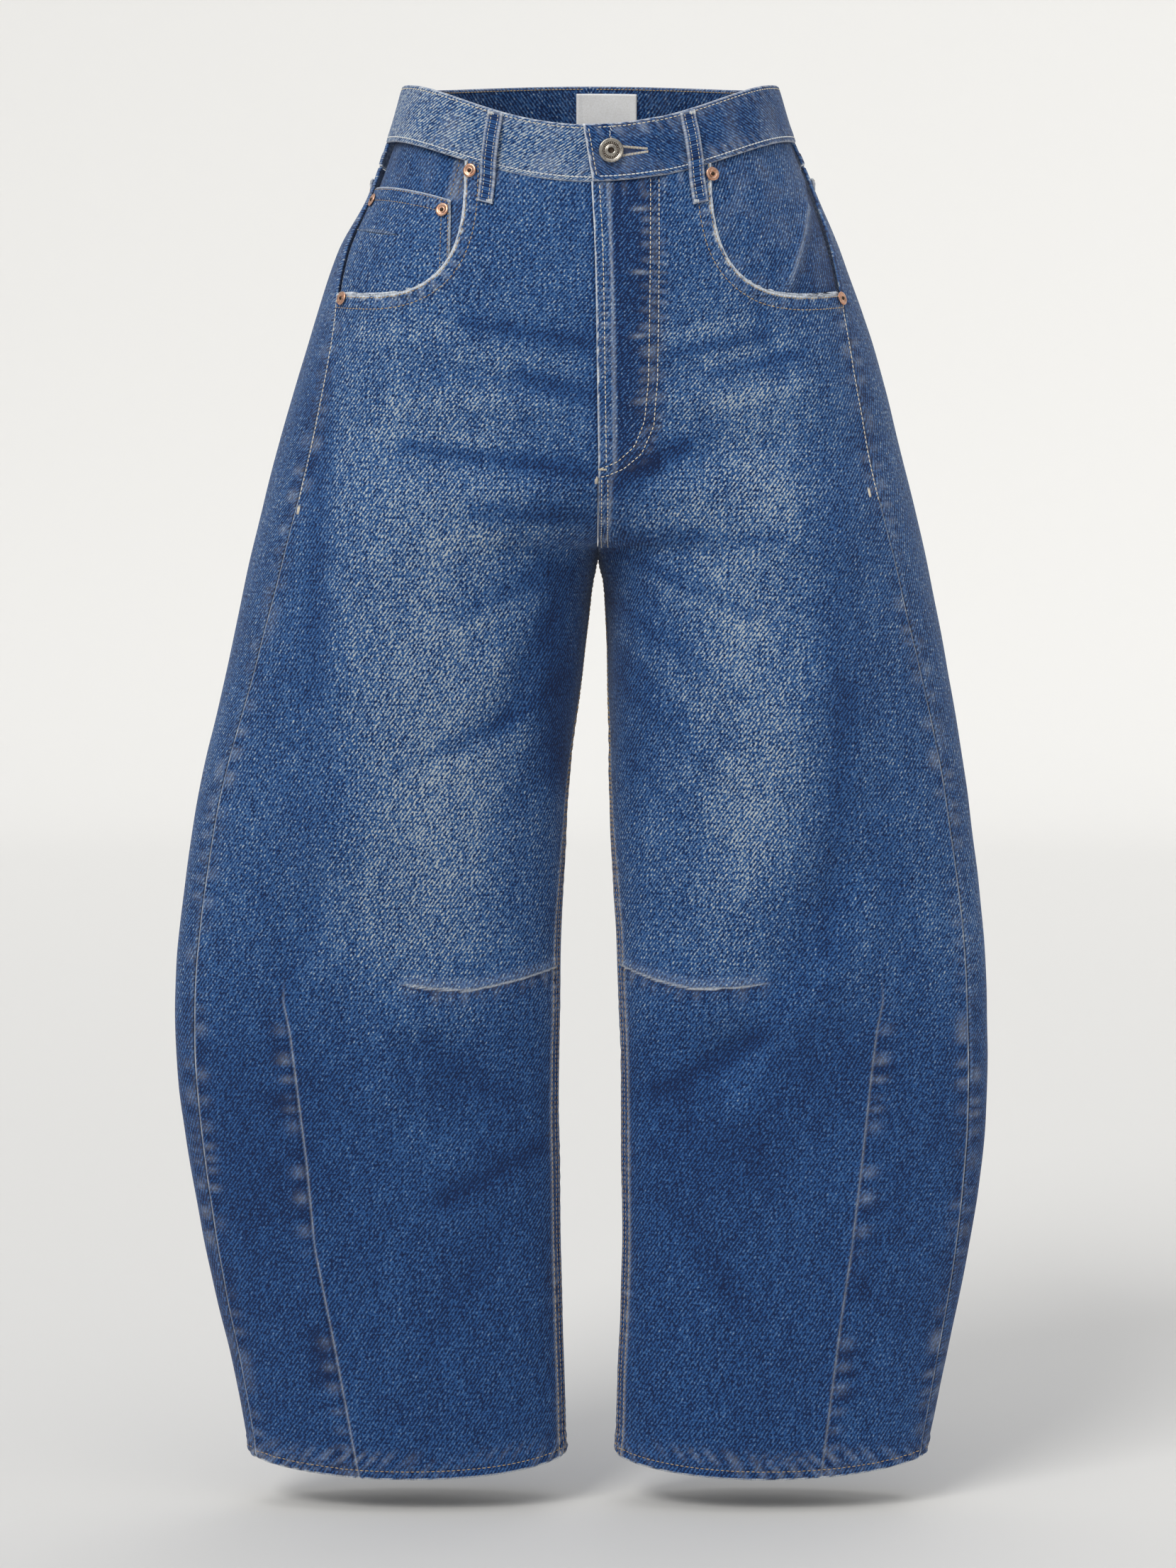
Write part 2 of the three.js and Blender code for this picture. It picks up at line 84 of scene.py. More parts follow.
# middle is the x of the centre seams, right and left are the outline's distances from x = 0, gap is
# half the space between the legs, and seam is how far the side seam lies inside the outline.
SECTION_COLUMNS = ("z", "middle", "right", "left", "gap", "front", "back", "seam")
SECTION_ROWS = (
    (12, 1, 124, 127, 0, 94, 99, 0.3),
    (-40, 2, 139, 143, 0, 99, 106, 0.5),
    (-80, 4, 154, 160, 0, 104, 114, 2),
    (-120, 5, 175, 177, 0, 110, 122, 7),
    (-200, 6, 201, 204, 0, 114, 128, 20),
    (-280, 7, 224, 225, 0, 108, 122, 26),
    (-325, 7, 235, 236, 0, 98, 110, 25),
    (-355, 7, 242, 242, 4.8, 94, 104, 24),
    (-410, 5, 254, 253, 9.3, 87, 95, 21),
    (-500, 0.5, 275, 268, 14.8, 73, 80, 17),
    (-600, 0.6, 289, 280, 20, 59, 63, 15),
    (-670, 1, 292, 283, 22, 52, 55, 14.5),
    (-740, 1.6, 286, 281, 22.5, 48, 50, 13),
    (-830, 2.4, 270, 269, 22, 45, 46, 9.5),
    (-920, 2, 250, 251, 19.5, 43, 43, 6),
    (-985, 1.8, 238, 238, 17.5, 42, 42, 5),
)
SECTIONS = dict(zip(SECTION_COLUMNS, np.array(SECTION_ROWS, float).T))

# Folds and creases: ridges, or troughs where the height is below 0, along straight lines
Fold = namedtuple("Fold", "face x1 z1 x2 z2 width height")
FOLDS = [
    Fold(*row)
    for row in (
        # The largest, which the solids have too
        (FRONT, -150, -165, -166, -520, 45, 6),
        (FRONT, -166, -520, -113, -680, 40, 5),
        (FRONT, 161, -220, 155, -440, 45, 6),
        (FRONT, 155, -440, 161, -600, 45, 6),
        (FRONT, 177, -549, 102, -676, 24, -6),
        (FRONT, 102, -676, 64, -726, 22, -4),
        (FRONT, -45, -640, -135, -650, 20, 3),
        (FRONT, 45, -640, 135, -650, 20, 3),
        (BACK, -40, -350, -150, -392, 26, -6),
        (BACK, 48, -352, 152, -388, 26, -6),
        (BACK, -140, -420, -152, -640, 44, 6),
        (BACK, 146, -410, 140, -630, 44, 6),
        (BACK, -60, -600, -170, -664, 24, -5),
        (BACK, 62, -612, 168, -652, 24, -5),
        # Creases that fan out from the crotch over the front of each thigh
        (FRONT, -14, -338, -62, -452, 9, -2.2),
        (FRONT, -24, -352, -84, -430, 11, 1.8),
        (FRONT, -18, -412, -88, -466, 8, -2.0),
        (FRONT, -28, -432, -96, -474, 9, 1.6),
        (FRONT, -22, -470, -70, -520, 10, -1.3),
        (FRONT, 22, -336, 66, -392, 9, -2.3),
        (FRONT, 30, -352, 92, -418, 10, 1.7),
        (FRONT, 24, -398, 74, -452, 8, -2.1),
        (FRONT, 32, -416, 104, -482, 9, 1.5),
        (FRONT, 26, -466, 92, -536, 10, -1.5),
        (FRONT, 34, -520, 74, -560, 9, 1.0),
        # Whiskers across the lap
        (FRONT, -22, -212, -112, -198, 7, -1.1),
        (FRONT, -26, -226, -128, -222, 7, 1.0),
        (FRONT, -20, -266, -104, -262, 8, -1.2),
        (FRONT, -22, -284, -132, -290, 8, 0.9),
        (FRONT, 52, -206, 132, -186, 7, -1.1),
        (FRONT, 56, -224, 150, -214, 7, 1.0),
        (FRONT, 48, -262, 128, -250, 8, -1.3),
        (FRONT, 50, -284, 150, -280, 8, 0.9),
        # The crease under the left hip, and drags at the knees and the outer darts
        (FRONT, 116, -160, 132, -205, 8, -1.6),
        (FRONT, 180, -170, 196, -262, 12, -1.8),
        (FRONT, -178, -178, -196, -280, 12, -1.6),
        (FRONT, -112, -672, -66, -706, 13, -2.0),
        (FRONT, -150, -700, -96, -752, 14, 1.3),
        (FRONT, 150, -640, 96, -716, 12, 1.5),
        (FRONT, 60, -790, 104, -850, 15, -1.4),
        (FRONT, -62, -800, -104, -872, 15, -1.3),
        (FRONT, -36, -746, -102, -780, 9, -1.6),
        (FRONT, 48, -706, 120, -664, 10, -1.6),
        (FRONT, -182, -240, -190, -420, 12, -1.8),
        (FRONT, 176, -420, 168, -600, 12, -1.8),
        (FRONT, -190, -560, -214, -640, 13, -1.5),
        (FRONT, 196, -500, 222, -610, 13, -1.6),
        # The back: smile creases under the seat, drags behind the knees and down to the hems
        (BACK, -26, -322, -96, -352, 9, 2.0),
        (BACK, 30, -326, 92, -350, 10, 1.8),
        (BACK, -34, -386, -122, -432, 11, -2.4),
        (BACK, 38, -392, 116, -424, 10, -2.1),
        (BACK, -30, -430, -82, -474, 10, 1.5),
        (BACK, 36, -438, 92, -492, 11, 1.6),
        (BACK, -112, -196, -176, -222, 12, -1.5),
        (BACK, 118, -202, 182, -238, 12, -1.7),
        (BACK, -54, -566, -132, -598, 12, 1.8),
        (BACK, 58, -578, 138, -604, 11, 1.6),
        (BACK, -72, -640, -150, -706, 13, -2.2),
        (BACK, 70, -648, 142, -700, 14, -2.0),
        (BACK, -84, -752, -136, -842, 16, -1.5),
        (BACK, 92, -764, 126, -862, 15, -1.4),
        (BACK, -196, -470, -222, -600, 14, -1.8),
        (BACK, 198, -490, 220, -596, 13, -1.6),
    )
]

# The dart below each knee, from its point to the hem: level and distance from x = 0
OUTER_DARTS = {
    "right": ((-618, 218), (-662, 209), (-700, 204.5), (-753, 198), (-815, 192.5), (-880, 179), (-968, 162)),
    "left": ((-614, 212), (-659, 203), (-692, 199), (-753, 193), (-815, 186), (-865, 178.5), (-968, 165)),
}
# The dart across each knee, from the inseam to its point: distance from x = 0 and level
KNEE_DARTS = {
    "right": ((16, -618), (49, -626), (82, -632), (109, -630), (134, -625)),
    "left": ((19, -617), (47, -626), (71, -631), (104, -630), (129, -626)),
}

# Wash, with painted shade and painted highlight beside the large folds: how much paler or darker than its
# surroundings each patch of the cloth is
Patch = namedtuple("Patch", "face x z wide high amount")
PATCHES = [
    Patch(*row)
    for row in (
        (FRONT, -112, -330, 52, 170, 0.24),
        # painted highlight along the ridge of the right thigh
        (FRONT, -167, -280, 9, 120, 0.12),
        (FRONT, -104, -500, 50, 125, 0.27),
        (FRONT, -60, -250, 50, 90, 0.10),
        # paler band along the same ridge: partly wear, partly painted highlight
        (FRONT, -150, -330, 20, 210, 0.10),
        (FRONT, -142, -570, 46, 60, 0.14),
        # painted shade where the right thigh turns away beyond its ridge
        (FRONT, -188, -420, 22, 190, -0.06),
        # painted shade beside the ridge of the left thigh
        (FRONT, 172, -430, 15, 150, -0.12),
        # painted shade in the trough across the left knee, in this row and the next
        (FRONT, 145, -600, 26, 50, -0.16),
        (FRONT, 138, -665, 44, 34, -0.14),
        (FRONT, -238, -760, 40, 130, -0.08),
        # painted shade at the low end of the same trough
        (FRONT, 92, -740, 44, 40, -0.10),
        (FRONT, 108, -330, 46, 170, 0.26),
        (FRONT, 112, -520, 44, 115, 0.26),
        (FRONT, 62, -240, 50, 90, 0.08),
        # painted shade where both thighs turn back towards the inseam, in this row and the next
        (FRONT, -24, -400, 20, 90, -0.12),
        (FRONT, 30, -400, 20, 110, -0.10),
        (BACK, -88, -250, 62, 70, 0.24),
        (BACK, 90, -250, 62, 70, 0.22),
        (BACK, -100, -430, 50, 110, 0.12),
        (BACK, 102, -440, 48, 110, 0.12),
        (BACK, -112, -650, 46, 60, 0.08),
        (BACK, 112, -650, 46, 60, 0.08),
    )
]


# Streaks in the wash, where the cloth was creased as it faded, and three lines of painted shade: x and z of
# both ends, width, amount
STREAKS = (
    (-86, -169, -2, -183, 6, -0.26),
    (-156, -177, -91, -173, 7, 0.16),
    (-86, -191, -14, -201, 7, 0.14),
    (-44, -204, 2, -219, 8, -0.24),
    (-122, -252, -2, -271, 6, -0.30),
    (-149, -242, -62, -252, 4, 0.16),
    (-78, -297, -2, -303, 7, -0.24),
    (-105, -319, -5, -307, 5, 0.16),
    (-137, -227, -67, -220, 8, 0.12),
    (-134, -475, -32, -432, 6, -0.20),
    (-111, -485, -29, -451, 5, 0.12),
    (-91, -369, -26, -335, 6, -0.18),
    (-101, -383, -29, -359, 5, 0.12),
    # painted shade where the right thigh turns back towards the inseam
    (-27, -349, -19, -480, 11, -0.20),
    (43, -180, 111, -168, 4, 0.18),
    (58, -190, 120, -179, 4, -0.24),
    (77, -197, 135, -182, 4, 0.18),
    (85, -205, 144, -191, 4, -0.22),
    (91, -224, 149, -209, 5, 0.16),
    (18, -279, 63, -254, 8, -0.30),
    (63, -254, 92, -239, 6, -0.16),
    (24, -317, 123, -316, 6, -0.20),
    (34, -304, 121, -294, 7, 0.10),
    (111, -263, 133, -296, 13, 0.18),
    (16, -324, 112, -368, 5, -0.20),
    (24, -335, 121, -383, 5, 0.14),
    (15, -359, 107, -424, 5, -0.16),
    (20, -383, 82, -436, 5, 0.10),
    (20, -412, 87, -475, 6, -0.16),
    # painted shade in two knee creases, in this row and the next
    (-36, -746, -102, -780, 8, -0.10),
    (48, -706, 120, -664, 9, -0.10),
)


# Shape of the skin

def smoothstep(x, low, high):
    t = np.clip((x - low) / (high - low), 0, 1)
    return t * t * (3 - 2 * t)


def bell(x, width):
    return np.exp(-((x / width) ** 2))


def column(name, z):
    """A smooth curve through one column of the sections table."""
    levels, values = SECTIONS["z"], SECTIONS[name]
    last = len(levels) - 1
    rows = np.arange(last + 1)
    above, below = np.maximum(rows - 1, 0), np.minimum(rows + 1, last)
    slopes = (values[below] - values[above]) / (levels[below] - levels[above])
    i = np.clip(np.searchsorted(-levels, -np.asarray(z, float)) - 1, 0, last - 1)
    span = levels[i + 1] - levels[i]
    t = np.clip((z - levels[i]) / span, 0, 1)
    bends = t * (1 - t) ** 2 * span * slopes[i] + t * t * (t - 1) * span * slopes[i + 1]
    return values[i] + (values[i + 1] - values[i]) * t * t * (3 - 2 * t) + bends


def section(side, z):
    """The level section of one side: an ellipse, cut by the centre plane, closing into a leg."""
    middle = column("middle", z)
    outer = column(side.name, z) - side.sign * middle
    closing = np.clip((CROTCH + RISE - z) / RISE, 0, 1) ** 1.6
    inner = np.where(z >= CROTCH, -outer * (1 - closing) / (1 + closing), column("gap", z))
    return middle, closing, (outer + inner) / 2, (outer - inner) / 2


def dip(angle, level):
    across = np.abs(np.sin(angle))
    near_waist = smoothstep(level, CROTCH + 25, BAND_BOTTOM)
    near_hem = 1 - smoothstep(level, HEM, HEM + 170)
    waist = np.where(np.sin(angle) < 0, -FRONT_DIP * across**3.2, BACK_LIFT * across**2)
    return waist * near_waist - HEM_SAG * across**1.5 * near_hem


def fold_height(x, z, face):
    total = np.zeros_like(x)
    for fold in FOLDS:
        run = np.array([fold.x2 - fold.x1, fold.z2 - fold.z1], float)
        t = np.clip(((x - fold.x1) * run[0] + (z - fold.z1) * run[1]) / (run @ run), 0, 1)
        away = np.hypot(x - fold.x1 - t * run[0], z - fold.z1 - t * run[1])
        total += np.where(face == fold.face, fold.height * bell(away, fold.width), 0)
    return total


def skin(side, angle, level):
    """Points of the skin. angle is 0 at the outer outline, below 0 in front and above 0 behind."""
    angle, level = np.broadcast_arrays(np.asarray(angle, float), np.asarray(level, float))
    z = level + dip(angle, level)
    middle, closing, centre, half = section(side, z)
    across = np.sin(angle)
    face = np.where(across < 0, FRONT, BACK)
    depth = np.where(face == FRONT, column("front", z), column("back", z))
    fullness = 1 - INNER_FULLNESS * closing * np.cos(angle)
    x = middle + side.sign * (centre + half * np.cos(angle))
    y = depth * np.abs(across) ** SKIN_POWER * fullness + fold_height(x, z, face) * np.abs(across)
    return np.stack([x, face * y, z], -1)


def outward(side, angle, level):
    turn, drop = 0.01, 1
    around = skin(side, angle + turn, level) - skin(side, angle - turn, level)
    down = skin(side, angle, level - drop) - skin(side, angle, level + drop)
    normal = np.cross(around, down) * -side.sign
    return normal / np.linalg.norm(normal, axis=-1, keepdims=True)


def raised(side, angle, level, out):
    return skin(side, angle, level) + outward(side, angle, level) * np.asarray(out)[..., None]


def angle_of(side, angle, level, length):
    """How much angle a length round the skin takes."""
    turn = 0.02
    round_it = skin(side, angle + turn, level) - skin(side, angle - turn, level)
    return length * 2 * turn / np.linalg.norm(round_it, axis=-1)


def angle_at_x(side, face, x, level):
    angle = face * math.pi / 2
    for _ in range(6):
        middle, _, centre, half = section(side, level + dip(angle, level))
        angle = face * np.arccos(np.clip((side.sign * (x - middle) - centre) / half, -1, 1))
    return angle


def side_of(x, z):
    return RIGHT if x < column("middle", z) else LEFT


def spot_at_point(face, x, z):
    """Side, angle and level of the point of the front or back at x and z."""
    side, level = side_of(x, z), float(z)
    for _ in range(12):
        angle = angle_at_x(side, face, x, level)
        level += z - float(skin(side, angle, level)[2])
    return side, float(angle), level


def centre_edge(side, face, level):
    level = np.asarray(level, float)
    plane = section(side, level)[0] + side.sign * SEAM / 2
    above = angle_at_x(side, face, plane, level)
    turned = face * math.pi + INSEAM_TURN * (1 - smoothstep(level, KNEE, CROTCH))
    below = turned - face * angle_of(side, turned, level, SEAM / 2)
    return np.where(level >= CROTCH, above, below)


def side_edge(side, face, level):
    half = section(side, level)[3]
    angle = -np.arccos(1 - column("seam", level) / half)
    return angle + face * angle_of(side, angle, level, SEAM / 2)


def yoke_seam(angle):
    return YOKE_SIDE - YOKE_POINT * np.maximum(np.sin(angle), 0) ** 2


def pocket_edge(side, t):
    """Angle and level on the scooped edge of the front pocket, t from the waistband to the side."""
    seam_x = abs(skin(side, side_edge(side, FRONT, POCKET_BOTTOM), POCKET_BOTTOM)[0])
    turn = np.linspace(0, math.pi / 2, 400)
    out = np.cos(turn) ** (2 / POCKET_SQUARENESS)
    down = np.sin(turn) ** (2 / POCKET_SQUARENESS)
    x = seam_x + (POCKET_X - seam_x) * out
    level = (BAND_BOTTOM - SEAM) + (POCKET_BOTTOM - BAND_BOTTOM + SEAM) * down
    run = np.concatenate([[0], np.cumsum(np.hypot(np.diff(x), np.diff(level)))])
    x, level = np.interp(t, run / run[-1], x), np.interp(t, run / run[-1], level)
    return angle_at_x(side, FRONT, side.sign * x, level), level


# Helpers for relief

def spread(start, stop, count, dense=()):
    """count + 1 places from start to stop, closer together near each (place, reach, strength)."""
    places = np.linspace(start, stop, 1201)
    density = 1 + sum(strength * bell(places - at, reach) for at, reach, strength in dense)
    density = density * np.ones_like(places)
    run = np.concatenate([[0], np.cumsum((density[1:] + density[:-1]) / 2)])
    return np.interp(np.linspace(0, run[-1], count + 1), run, places)


def ripple(along, spacing, seed):
    """An uneven wave along a seam, from -1 to 1."""
    drift = 2.6 * np.sin(along / 17 + seed) + 3.1 * np.sin(along / 41 + 2.3 * seed)
    drift = drift + 1.4 * np.sin(along / 9.3 + 4.1 * seed)
    swell = np.clip(0.55 + 0.75 * np.sin(along / 23 + 1.7 * seed) * np.sin(along / 57 + seed), 0.05, 1.2)
    return np.sin(2 * math.pi * along / spacing + drift) * swell


def rumple(points, size, seed):
    """Soft unevenness of the cloth at one size, from about -1 to 1."""
    flat = points.reshape(-1, 3) / size + seed
    return np.array([noise.noise(p) for p in flat.tolist()]).reshape(points.shape[:-1])


def lengths(points, axis):
    """Running length along the rows (axis 1) or columns (axis 0) of a grid of points."""
    steps = np.linalg.norm(np.diff(points, axis=axis), axis=-1)
    start = np.zeros_like(np.take(steps, [0], axis=axis))
    return np.concatenate([start, np.cumsum(steps, axis=axis)], axis=axis)


def weave_length(points):
    """Length along each row from where it crosses one upright line, or else from its middle."""
    run, x = lengths(points, 1), np.abs(points[..., 0])
    if x.min(1).max() > WEAVE_FROM or x.max(1).min() < WEAVE_FROM:
        return run - run[:, [points.shape[1] // 2]]
    outwards = slice(None) if x[0, 0] < x[0, -1] else slice(None, None, -1)
    rising = np.maximum.accumulate(x[:, outwards], axis=1)
    start = [np.interp(WEAVE_FROM, *pair) for pair in zip(rising, run[:, outwards])]
    return run - np.array(start)[:, None]


WEAVE_FROM = 60
Line = namedtuple("Line", "points normals")


def line_of(side, angle, level):
    return Line(skin(side, angle, level), outward(side, angle, level))


def inset(line, distance):
    """The line moved sideways on the cloth: to the left of its run if the distance is above 0."""
    ahead = np.gradient(line.points, axis=0)
    sideways = np.cross(line.normals, ahead)
    sideways /= np.linalg.norm(sideways, axis=-1, keepdims=True)
    return Line(line.points + sideways * distance, line.normals)


def finer(line, step=1.5):
    run = lengths(line.points, 0)
    count = max(int(run[-1] / step), 2)
    places = np.linspace(0, run[-1], count)
    both = [
        np.stack([np.interp(places, run, part[:, k]) for k in range(3)], -1)
        for part in (line.points, line.normals)
    ]
    return Line(*both)


def off_segment(x, z, x1, z1, x2, z2):
    """Distance from a straight line between two places of the front or back."""
    run_x, run_z = x2 - x1, z2 - z1
    t = np.clip(((x - x1) * run_x + (z - z1) * run_z) / (run_x**2 + run_z**2), 0, 1)
    return np.hypot(x - x1 - t * run_x, z - z1 - t * run_z)


def nearness(points, line, reach):
    """Distance to a line and place along it, for the points of a grid within reach of it."""
    line = finer(line)
    run = lengths(line.points, 0)
    flat = points.reshape(-1, 3)
    low, high = line.points.min(0) - reach, line.points.max(0) + reach
    inside = np.flatnonzero(np.all((flat > low) & (flat < high), axis=1))
    away = np.full(len(flat), 1e3)
    along = np.zeros(len(flat))
    for part in np.array_split(inside, len(inside) // 4000 + 1):
        gaps = np.linalg.norm(flat[part, None] - line.points[None], axis=-1)
        nearest = gaps.argmin(1)
        away[part] = gaps[np.arange(len(part)), nearest]
        along[part] = run[nearest]
    return away.reshape(points.shape[:-1]), along.reshape(points.shape[:-1])


class Relief:
    """How far a grid of cloth stands out, where it is rubbed pale, and where it is darker: kept dye, and in
    places painted shade.
    """

    def __init__(self, points):
        self.points = points
        self.out = np.zeros(points.shape[:-1])
        self.rubbed = np.zeros(points.shape[:-1])
        self.dye_and_shade = np.zeros(points.shape[:-1])

    def groove(self, away, width, depth, dye=0.25):
        self.out -= depth * bell(away, width)
        self.dye_and_shade += dye * bell(away, width)

    def ridge(self, away, width, height, rub=0.0):
        self.out += height * bell(away, width)
        self.rubbed += rub * bell(away, width)

    def pucker(self, away, along, width, height, spacing, seed):
        wave = ripple(along, spacing, seed)
        near = bell(away, width)
        self.out += height * wave * near
        self.rubbed += 0.26 * np.clip(wave, 0, 1) * near
        self.dye_and_shade += 0.24 * np.clip(-wave, 0, 1) * near

    def fray(self, away, along, width, seed):
        """A worn edge: the pale core of the yarn shows for an uneven width."""
        uneven = width * (1 + 0.45 * ripple(along, 13, seed) + 0.25 * ripple(along, 5, seed + 2))
        self.rubbed += 1.3 * (1 - smoothstep(away, uneven * 0.6, uneven * 1.3))


# Building pieces

def linear(hex_colour):
    parts = [int(hex_colour[i : i + 2], 16) / 255 for i in (1, 3, 5)]
    return [c / 12.92 if c <= 0.04045 else ((c + 0.055) / 1.055) ** 2.4 for c in parts] + [1.0]


def finish_object(name, mesh, material, replaces=()):
    piece = bpy.data.objects.new(name, mesh)
    bpy.context.collection.objects.link(piece)
    mesh.materials.append(material)
    mesh.polygons.foreach_set("use_smooth", [True] * len(mesh.polygons))
    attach(piece, "root")
    if replaces:
        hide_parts(*replaces)
    return piece


def wash_and_shade_of(points, rubbed, dye_and_shade, shade=0.0):
    """Fade, rub and dye of each point, for the denim's colour, with painted shade and painted highlight from
    some folds, patches and streaks.
    """
    x, y, z = points[..., 0], points[..., 1], points[..., 2]
    fade_and_shade = 0.405 - 0.18 * smoothstep(-z, 590, 720) + shade
    for patch in PATCHES:
        on_face = smoothstep(y * patch.face, -6, 14)
        fade_and_shade += patch.amount * bell(x - patch.x, patch.wide) * bell(z - patch.z, patch.high) * on_face
    in_front, behind = smoothstep(-y, -6, 14), smoothstep(y, -6, 14)
    for *ends, width, amount in STREAKS:
        fade_and_shade += amount * bell(off_segment(x, z, *ends), width) * in_front
    # Narrow folds: painted highlight on their ridges and painted shade in their troughs, in step with their
    # height
    for fold in FOLDS:
        if fold.width < 20:
            on_face = in_front if fold.face == FRONT else behind
            away = off_segment(x, z, fold.x1, fold.z1, fold.x2, fold.z2)
            fade_and_shade += 0.055 * fold.height * bell(away, 0.8 * fold.width) * on_face
    return np.stack([fade_and_shade, rubbed, dye_and_shade, np.ones_like(fade_and_shade)], -1)


def grid_mesh(name, points, cloth_uv, wash, closed=False):
    """A mesh of a grid of points. closed joins its last row to its first and caps both ends."""
    rows, cols = points.shape[:2]
    made = bmesh.new()
    bmesh.ops.create_grid(made, x_segments=cols - 1, y_segments=rows - 1, size=0.5)
    flat = np.array([v.co[:2] for v in made.verts])
    col = np.rint((flat[:, 0] + 0.5) * (cols - 1)).astype(int)
    row = np.rint((flat[:, 1] + 0.5) * (rows - 1)).astype(int)
    mesh = bpy.data.meshes.new(name)
    made.to_mesh(mesh)
    made.free()
    mesh.vertices.foreach_set("co", (points[row, col] * MM).ravel())
    corner = np.empty(len(mesh.loops), int)
    mesh.loops.foreach_get("vertex_index", corner)
    layer = mesh.uv_layers.new(name="cloth")
    layer.data.foreach_set("uv", (cloth_uv[row, col] * MM)[corner].ravel())
    colour = mesh.attributes.new("wash", "FLOAT_COLOR", "POINT")
    colour.data.foreach_set("color", wash[row, col].ravel())
    if closed:
        made = bmesh.new()
        made.from_mesh(mesh)
        bmesh.ops.remove_doubles(made, verts=made.verts, dist=1e-6)
        rim = [edge for edge in made.edges if edge.is_boundary]
        bmesh.ops.holes_fill(made, edges=rim, sides=0)
        bmesh.ops.recalc_face_normals(made, faces=made.faces)
        made.to_mesh(mesh)
        made.free()
    return mesh


def lay(name, side, angle, level, relief, material, thick=DENIM, shade=0.0, base=0.0, hem=0.0):
    """One piece of cloth laid on the skin, as a thin shell closed by its thickness."""
    plain = relief.points
    points = raised(side, angle, level, relief.out + base)
    across, down = np.gradient(points, axis=1), np.gradient(points, axis=0)
    facing_out = np.sum(np.cross(across, down) * outward(side, angle, level)) > 0
    run = weave_length(plain)
    cloth_uv = np.stack([-run if facing_out else run, level], -1)
    wash = wash_and_shade_of(plain, relief.rubbed, relief.dye_and_shade, shade)
    grids = (points, cloth_uv, wash)
    if not facing_out:
        grids = tuple(np.flip(grid, axis=1) for grid in grids)
    mesh = grid_mesh(name + "_cloth", *grids)
    piece = finish_object(name + "_cloth", mesh, material, (name,))
    shell = piece.modifiers.new("thickness", "SOLIDIFY")
    shell.thickness = thick * MM
    shell.offset = -1
    if material is DENIM_OUT:
        mesh.materials.append(DENIM_IN)
        shell.material_offset = 1
    if hem:
        doubled = piece.vertex_groups.new(name="doubled cloth")
        low = np.array([v.co.z for v in mesh.vertices]) / MM
        level_flat = np.array([uv.uv[1] for uv in mesh.uv_layers["cloth"].data]) / MM
        corner = np.empty(len(mesh.loops), int)
        mesh.loops.foreach_get("vertex_index", corner)
        level_at = np.empty(len(low))
        level_at[corner] = level_flat
        weight = 1 - smoothstep(level_at, HEM + hem - 0.6, HEM + hem + 0.6)
        for i in np.flatnonzero(weight > 0.01):
            doubled.add([int(i)], float(weight[i]), "REPLACE")
        shell.vertex_group = doubled.name
        shell.thickness = 2.2 * thick * MM
        shell.thickness_vertex_group = 1 / 2.2
    SURFACES[name] = tree_of(points)
    return piece


SURFACES = {}


def tree_of(points):
    """A search tree of a grid's surface, in millimetres, for sewing on it."""
    rows, cols = points.shape[:2]
    index = np.arange(rows * cols).reshape(rows, cols)
    quads = np.stack([index[:-1, :-1], index[:-1, 1:], index[1:, 1:], index[1:, :-1]], -1)
    return BVHTree.FromPolygons(points.reshape(-1, 3).tolist(), quads.reshape(-1, 4).tolist())


# Materials

def add_node(tree, kind, inputs=None, **properties):
    """Adds a node, sets its properties, and links or sets its inputs."""
    made = tree.nodes.new(kind)
    for name, value in properties.items():
        setattr(made, name, value)
    for key, value in (inputs or {}).items():
        if isinstance(value, bpy.types.NodeSocket):
            tree.links.new(value, made.inputs[key])
        else:
            made.inputs[key].default_value = value
    return made


def new_material(name):
    material = bpy.data.materials.new(name)
    material.use_nodes = True
    tree = material.node_tree
    return material, tree, tree.nodes["Principled BSDF"]


def per_mm(*sizes):
    """Scale that makes one unit of a pattern as large as each size in millimetres."""
    return [1 / (size * MM) for size in sizes]


